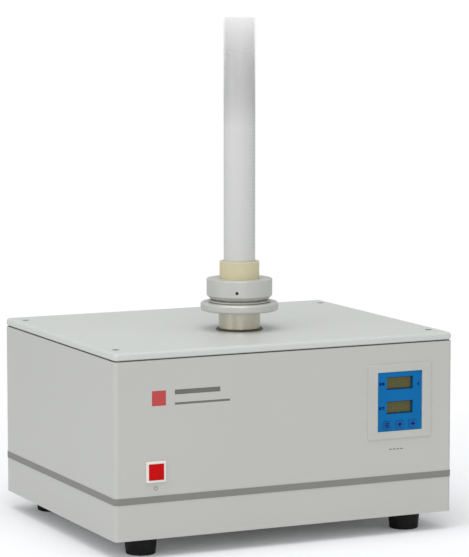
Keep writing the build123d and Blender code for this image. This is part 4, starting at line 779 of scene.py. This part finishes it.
@dataclass
class Counter:
    """The counter's fine parts: digits and a dark rim in each window, wider at its right and bottom as
    painted shadow, small marks and key glyphs.

    Sizes are in millimetres. The window's inset is measured from the display's edge, the mark's and the
    pointer's from the face plate's, and a drop goes down.
    """

    book: FinishBook
    digit_width: float = 3.6
    digit_height: float = 6.6
    digit_pitch: float = 6.0
    digit_count: int = 4
    digit_depth: float = 0.05
    stroke: float = 0.65
    window_inset: float = 1.3
    # The rim is wider at the right and bottom than at the left and top: painted shadow of the window's
    # recess.
    rim_left: float = 0.8
    rim_right: float = 1.5
    rim_top: float = 1.0
    rim_bottom: float = 1.4
    rim_depth: float = 0.35
    sunk: float = 0.02
    mark_inset: float = 4.4
    pointer_inset: float = 3.6
    pointer_drop: float = 2.0
    caption_shift: float = 3.5
    caption_drop: float = 10.0

    def digits(self, node: str) -> None:
        """Lays unlit seven-segment digits on one display's glass: three bars across, two along each side.

        Args:
            node: The display's node.
        """
        low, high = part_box(node)
        middle_x, middle_z = (low.x + high.x) / 2, (low.z + high.z) / 2
        wide, tall, thick = self.digit_width * MM, self.digit_height * MM, self.stroke * MM
        across = np.array([[0, z, wide - thick, thick] for z in (tall / 2, 0, -tall / 2)])
        along = np.array([[x, z, thick, tall / 2 - thick]
                          for x in (-wide / 2, wide / 2) for z in (-tall / 4, tall / 4)])
        bars = np.vstack([across, along])
        front = np.full(len(bars), low.y - self.digit_depth * MM)
        back = np.full(len(bars), low.y + self.sunk * MM)
        half = bars[:, 2:] / 2
        rows = []
        for k in range(self.digit_count):
            x = middle_x + (k - (self.digit_count - 1) / 2) * self.digit_pitch * MM
            start = bars[:, :2] + np.array([x, middle_z]) - half
            end = start + 2 * half
            rows.append(np.column_stack([start[:, 0], front, start[:, 1], end[:, 0], back, end[:, 1]]))
        piece = Surface.slabs(node + "_segments", np.vstack(rows))
        self.book.paint(piece, "display_ghost")
        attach(piece, "root")
        log.info("%s has %d digits", node, self.digit_count)

    def window_rim_painted_shadow(self, node: str) -> None:
        """Lays the dark frame that borders one display's glass inside its window; its wider right and bottom
        sides are painted shadow of the window's recess.

        Args:
            node: The display's node.
        """
        low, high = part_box(node)
        inset = self.window_inset * MM
        x0, x1, z0, z1 = low.x + inset, high.x - inset, low.z + inset, high.z - inset
        x_left, x_right = x0 + self.rim_left * MM, x1 - self.rim_right * MM
        z_bottom, z_top = z0 + self.rim_bottom * MM, z1 - self.rim_top * MM
        front, back = low.y - self.rim_depth * MM, low.y + self.sunk * MM
        rows = np.array([
            [x0, front, z0, x_left, back, z1],
            [x_right, front, z0, x1, back, z1],
            [x_left, front, z0, x_right, back, z_bottom],
            [x_left, front, z_top, x_right, back, z1],
        ])
        piece = Surface.slabs(node + "_rim", rows)
        self.book.paint(piece, "display_rim_painted_shadow")
        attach(piece, "root")
        log.info("%s has its rim", node)

    def marks(self) -> list[FrontMark]:
        """Lists the printed marks on the face plate, on the keys and under the bezel.

        Returns:
            One entry for each mark.
        """
        face_low, face_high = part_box("counter_face")
        found = []
        for node, glyph in (("count_display", Glyph.COUNT), ("preset_display", Glyph.PRESET)):
            low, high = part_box(node)
            place = (face_low.x + self.mark_inset * MM, (low.z + high.z) / 2)
            found.append(FrontMark(node + "_mark", glyph, place, face_low.y, "mark_navy", "face_blue"))
        low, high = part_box("count_display")
        place = (face_high.x - self.pointer_inset * MM, (low.z + high.z) / 2 - self.pointer_drop * MM)
        found.append(FrontMark("count_pointer", Glyph.POINTER, place, face_low.y, "mark_navy", "face_blue"))
        keys = (("key_left", Glyph.MENU, "left_key"), ("key_middle", Glyph.UP, "middle_key"),
                ("key_right", Glyph.NEXT, "right_key"))
        for node, glyph, body in keys:
            low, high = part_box(node)
            place = ((low.x + high.x) / 2, (low.z + high.z) / 2)
            found.append(FrontMark(node + "_glyph", glyph, place, low.y, "mark_navy", "key_blue", body))
        low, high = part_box("counter_bezel")
        place = ((low.x + high.x) / 2 - self.caption_shift * MM, low.z - self.caption_drop * MM)
        face_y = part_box("body_shell")[0].y
        found.append(FrontMark("counter_caption", Glyph.CAPTION, place, face_y, "mark_grey", "case_paint"))
        return found

    def build(self) -> None:
        """Adds everything to the counter."""
        for node in ("count_display", "preset_display"):
            self.digits(node)
            self.window_rim_painted_shadow(node)
        for mark in self.marks():
            mark.build(self.book)


@dataclass
class CaseMarks:
    """The plain print on the case: an on-off sign under the button and a label on the front.

    Sizes are in millimetres. The label's inset is from the case's left side, its drop from the shell's top.
    """

    book: FinishBook
    sign_drop: float = 5.6
    sign_inner_r: float = 1.55
    sign_outer_r: float = 2.05
    sign_gap_deg: float = 38.0
    sign_steps: int = 40
    bar_width: float = 0.52
    bar_low: float = 0.2
    bar_high: float = 2.5
    label_inset: float = 37.0
    label_drop: float = 28.5
    square_side: float = 14.0
    stripe_gap: float = 9.0
    upper_stripe: tuple[float, float] = (46.0, 4.5)
    lower_stripe: tuple[float, float] = (56.0, 2.0)
    sunk: float = 0.01

    def power_sign(self) -> None:
        """Prints the usual on-off sign under the button: an open ring and an upright bar.

        The ring's point at angle t lies at (r sin t, r cos t) from the middle, for t outside the gap on top.
        """
        low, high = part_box("switch_frame")
        face_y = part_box("body_shell")[0].y - INK
        x, z = (low.x + high.x) / 2, low.z - self.sign_drop * MM
        count = self.sign_steps
        angle = np.linspace(math.radians(self.sign_gap_deg), math.radians(360 - self.sign_gap_deg), count)
        ring = np.vstack([
            np.column_stack([x + r * MM * np.sin(angle), np.full(count, face_y), z + r * MM * np.cos(angle)])
            for r in (self.sign_inner_r, self.sign_outer_r)
        ])
        x0, x1 = x - self.bar_width / 2 * MM, x + self.bar_width / 2 * MM
        z0, z1 = z + self.bar_low * MM, z + self.bar_high * MM
        bar = np.array([[x0, face_y, z0], [x1, face_y, z0], [x1, face_y, z1], [x0, face_y, z1]])
        step = np.arange(count - 1)[:, None]
        around = np.hstack([step, step + 1, step + count + 1, step + count])
        faces = np.vstack([around, 2 * count + np.arange(4)[None, :]])
        piece = Surface.mesh("power_caption", np.vstack([ring, bar]), faces)
        self.book.paint(piece, "mark_grey")
        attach(piece, "root")
        log.info("on-off sign printed")

    def front_label(self) -> None:
        """Lays a plain square and two plain stripes, in line with the square's top and bottom."""
        low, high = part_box("body_shell")
        front, back = low.y - INK, low.y + self.sunk * MM
        side = self.square_side * MM
        x0, top = low.x + self.label_inset * MM, high.z - self.label_drop * MM
        bottom = top - side
        square = Surface.slabs("front_square", np.array([[x0, front, bottom, x0 + side, back, top]]))
        stripe_x = x0 + side + self.stripe_gap * MM
        upper_w, upper_h = self.upper_stripe
        lower_w, lower_h = self.lower_stripe
        stripes = Surface.slabs("front_stripes", np.array([
            [stripe_x, front, top - upper_h * MM, stripe_x + upper_w * MM, back, top],
            [stripe_x, front, bottom, stripe_x + lower_w * MM, back, bottom + lower_h * MM],
        ]))
        for piece, finish in ((square, "mark_red"), (stripes, "mark_grey")):
            self.book.paint(piece, finish)
            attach(piece, "root")
        log.info("front label laid")

    def build(self) -> None:
        """Adds every mark of the case."""
        self.power_sign()
        self.front_label()


@dataclass
class MeasuringTube:
    """The measuring cylinder as a fine turned surface, with its scale of plain bars.

    Sizes are in millimetres. The scale starts at its height above the cylinder's foot, to the right of the
    front, and a bar's reach is the angle in radians that it spans.
    """

    book: FinishBook
    wall: float = 1.5
    floor: float = 3.0
    foot_r: float = 0.4
    lip_r: float = 0.6
    bore_r: float = 0.8
    scale_low: float = 44.0
    scale_step: float = 3.6
    scale_count: int = 51
    scale_start_deg: float = 28.0
    short_reach: float = 0.34
    middle_reach: float = 0.48
    long_reach: float = 0.62
    bar_height: float = 0.28
    bar_lift: float = 0.04
    bar_points: int = 7

    def outline(self, low: Vector, high: Vector) -> np.ndarray:
        """Gives the tube's section.

        Args:
            low: The node's lowest corner.
            high: The node's highest corner.

        Returns:
            Radius and height along the closed section.
        """
        radius = (high.x - low.x) / 2
        bore = radius - self.wall * MM
        inside = low.z + self.floor * MM
        points = [(0.0, low.z), (radius, low.z), (radius, high.z),
                  (bore, high.z), (bore, inside), (0.0, inside)]
        corners = (0.0, self.foot_r, self.lip_r, self.lip_r, self.bore_r, 0.0)
        return Surface.rounded(points, [corner * MM for corner in corners])

    def scale(self, radius: float, foot_z: float, centre: tuple[float, float]) -> bpy.types.Object:
        """Makes the scale: curved bars on the wall, each fifth one longer and each tenth one longest.

        A bar's point at angle t and height z lies at (r sin t, -r cos t, z) from the axis.

        Args:
            radius: The wall's radius.
            foot_z: The height of the cylinder's foot.
            centre: The axis in X and Y.

        Returns:
            The piece.
        """
        number = np.arange(self.scale_count)
        reach = np.select([number % 10 == 0, number % 5 == 0], [self.long_reach, self.middle_reach],
                          self.short_reach)
        share = np.linspace(0, 1, self.bar_points)
        angle = math.radians(self.scale_start_deg) + reach[:, None, None] * share[None, None, :]
        height = foot_z + (self.scale_low + number * self.scale_step) * MM
        edge = np.array([-0.5, 0.5]) * self.bar_height * MM
        shape = (len(number), len(edge), self.bar_points)
        z = np.broadcast_to(height[:, None, None] + edge[None, :, None], shape)
        angle = np.broadcast_to(angle, shape)
        r = radius + self.bar_lift * MM
        verts = np.stack([centre[0] + r * np.sin(angle), centre[1] - r * np.cos(angle), z], axis=-1)
        first = (number * len(edge) * self.bar_points)[:, None] + np.arange(self.bar_points - 1)[None, :]
        above = first + self.bar_points
        return Surface.mesh("tube_scale", verts, np.stack([first, first + 1, above + 1, above], axis=-1))

    def build(self) -> None:
        """Replaces the cylinder's node by the fine tube and adds its scale."""
        low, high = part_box("measuring_cylinder")
        centre = ((low.x + high.x) / 2, (low.y + high.y) / 2)
        tube = Surface.turned("fine_measuring_cylinder", self.outline(low, high), centre)
        self.book.paint(tube, "milky_tube")
        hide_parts("measuring_cylinder")
        bars = self.scale((high.x - low.x) / 2, low.z, centre)
        self.book.paint(bars, "scale_ink")
        for piece in (tube, bars):
            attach(piece, "cylinder")
        log.info("cylinder and scale built")


NODE_FINISHES: dict[str, tuple[str, ...]] = {
    "case_coat": ("body_shell", "base_tray", "rear_panel"),
    "lid_coat_painted_light": ("lid_plate",),
    "band_coat": ("trim_band",),
    "foot_rubber": ("foot_front_left", "foot_front_right", "foot_rear_left", "foot_rear_right"),
    "seal_foam": ("lid_seal",),
    "grommet_rubber": ("lid_grommet",),
    "black_oxide": ("lid_screws", "foot_screws", "collar_set_screw"),
    "zinc_plate": ("rear_panel_screws", "chassis_screws", "bridge_screws", "chassis_plate", "bridge_plate",
                   "bridge_pillars", "motor_bracket", "rotation_stop"),
    "ground_steel": ("guide_column",),
    "anodised_metal": ("platform_flange", "holder_collar"),
    "amber_resin": ("cushion_sleeve",),
    "milky_tube": ("measuring_cylinder",),
    "milled_aluminium": ("bearing_block_left", "bearing_block_right", "cam_pulley", "motor_pulley",
                         "flag_disc", "power_supply"),
    "bright_steel": ("lift_shaft", "roller_fork", "roller_pin", "cam_roller", "cam_shaft", "snail_cam",
                     "motor_shaft", "cam_bearings"),
    "bronze": ("column_bushes",),
    "motor_paint": ("gear_motor",),
    "black_plastic": ("drive_belt", "tap_sensor", "wiring_loom", "inlet_socket", "fuse_drawer",
                      "counter_case"),
    "board_mask": ("control_board",),
    "pin_nickel": ("inlet_pins",),
    "switch_plastic": ("switch_frame",),
    "button_red": ("power_button",),
    "bezel_plastic": ("counter_bezel",),
    "face_blue": ("counter_face",),
    "display_olive": ("count_display", "preset_display"),
    "key_blue": ("key_left", "key_middle", "key_right"),
}


def dress_nodes(nodes: Nodes, book: FinishBook) -> None:
    """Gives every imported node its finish.

    Args:
        nodes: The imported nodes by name.
        book: The finishes.
    """
    for finish, names in NODE_FINISHES.items():
        for name in names:
            book.paint(nodes[name], finish)
            log.info("%s wears %s", name, finish)


def main() -> None:
    """Builds the tester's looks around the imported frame."""
    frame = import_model()
    book = FinishBook(SurfaceGroups())
    book.build()
    Studio().build()
    dress_nodes(frame["nodes"], book)
    for assembly in (MeasuringTube(book), Counter(book), CaseMarks(book)):
        assembly.build()


if __name__ == "__main__":
    main()
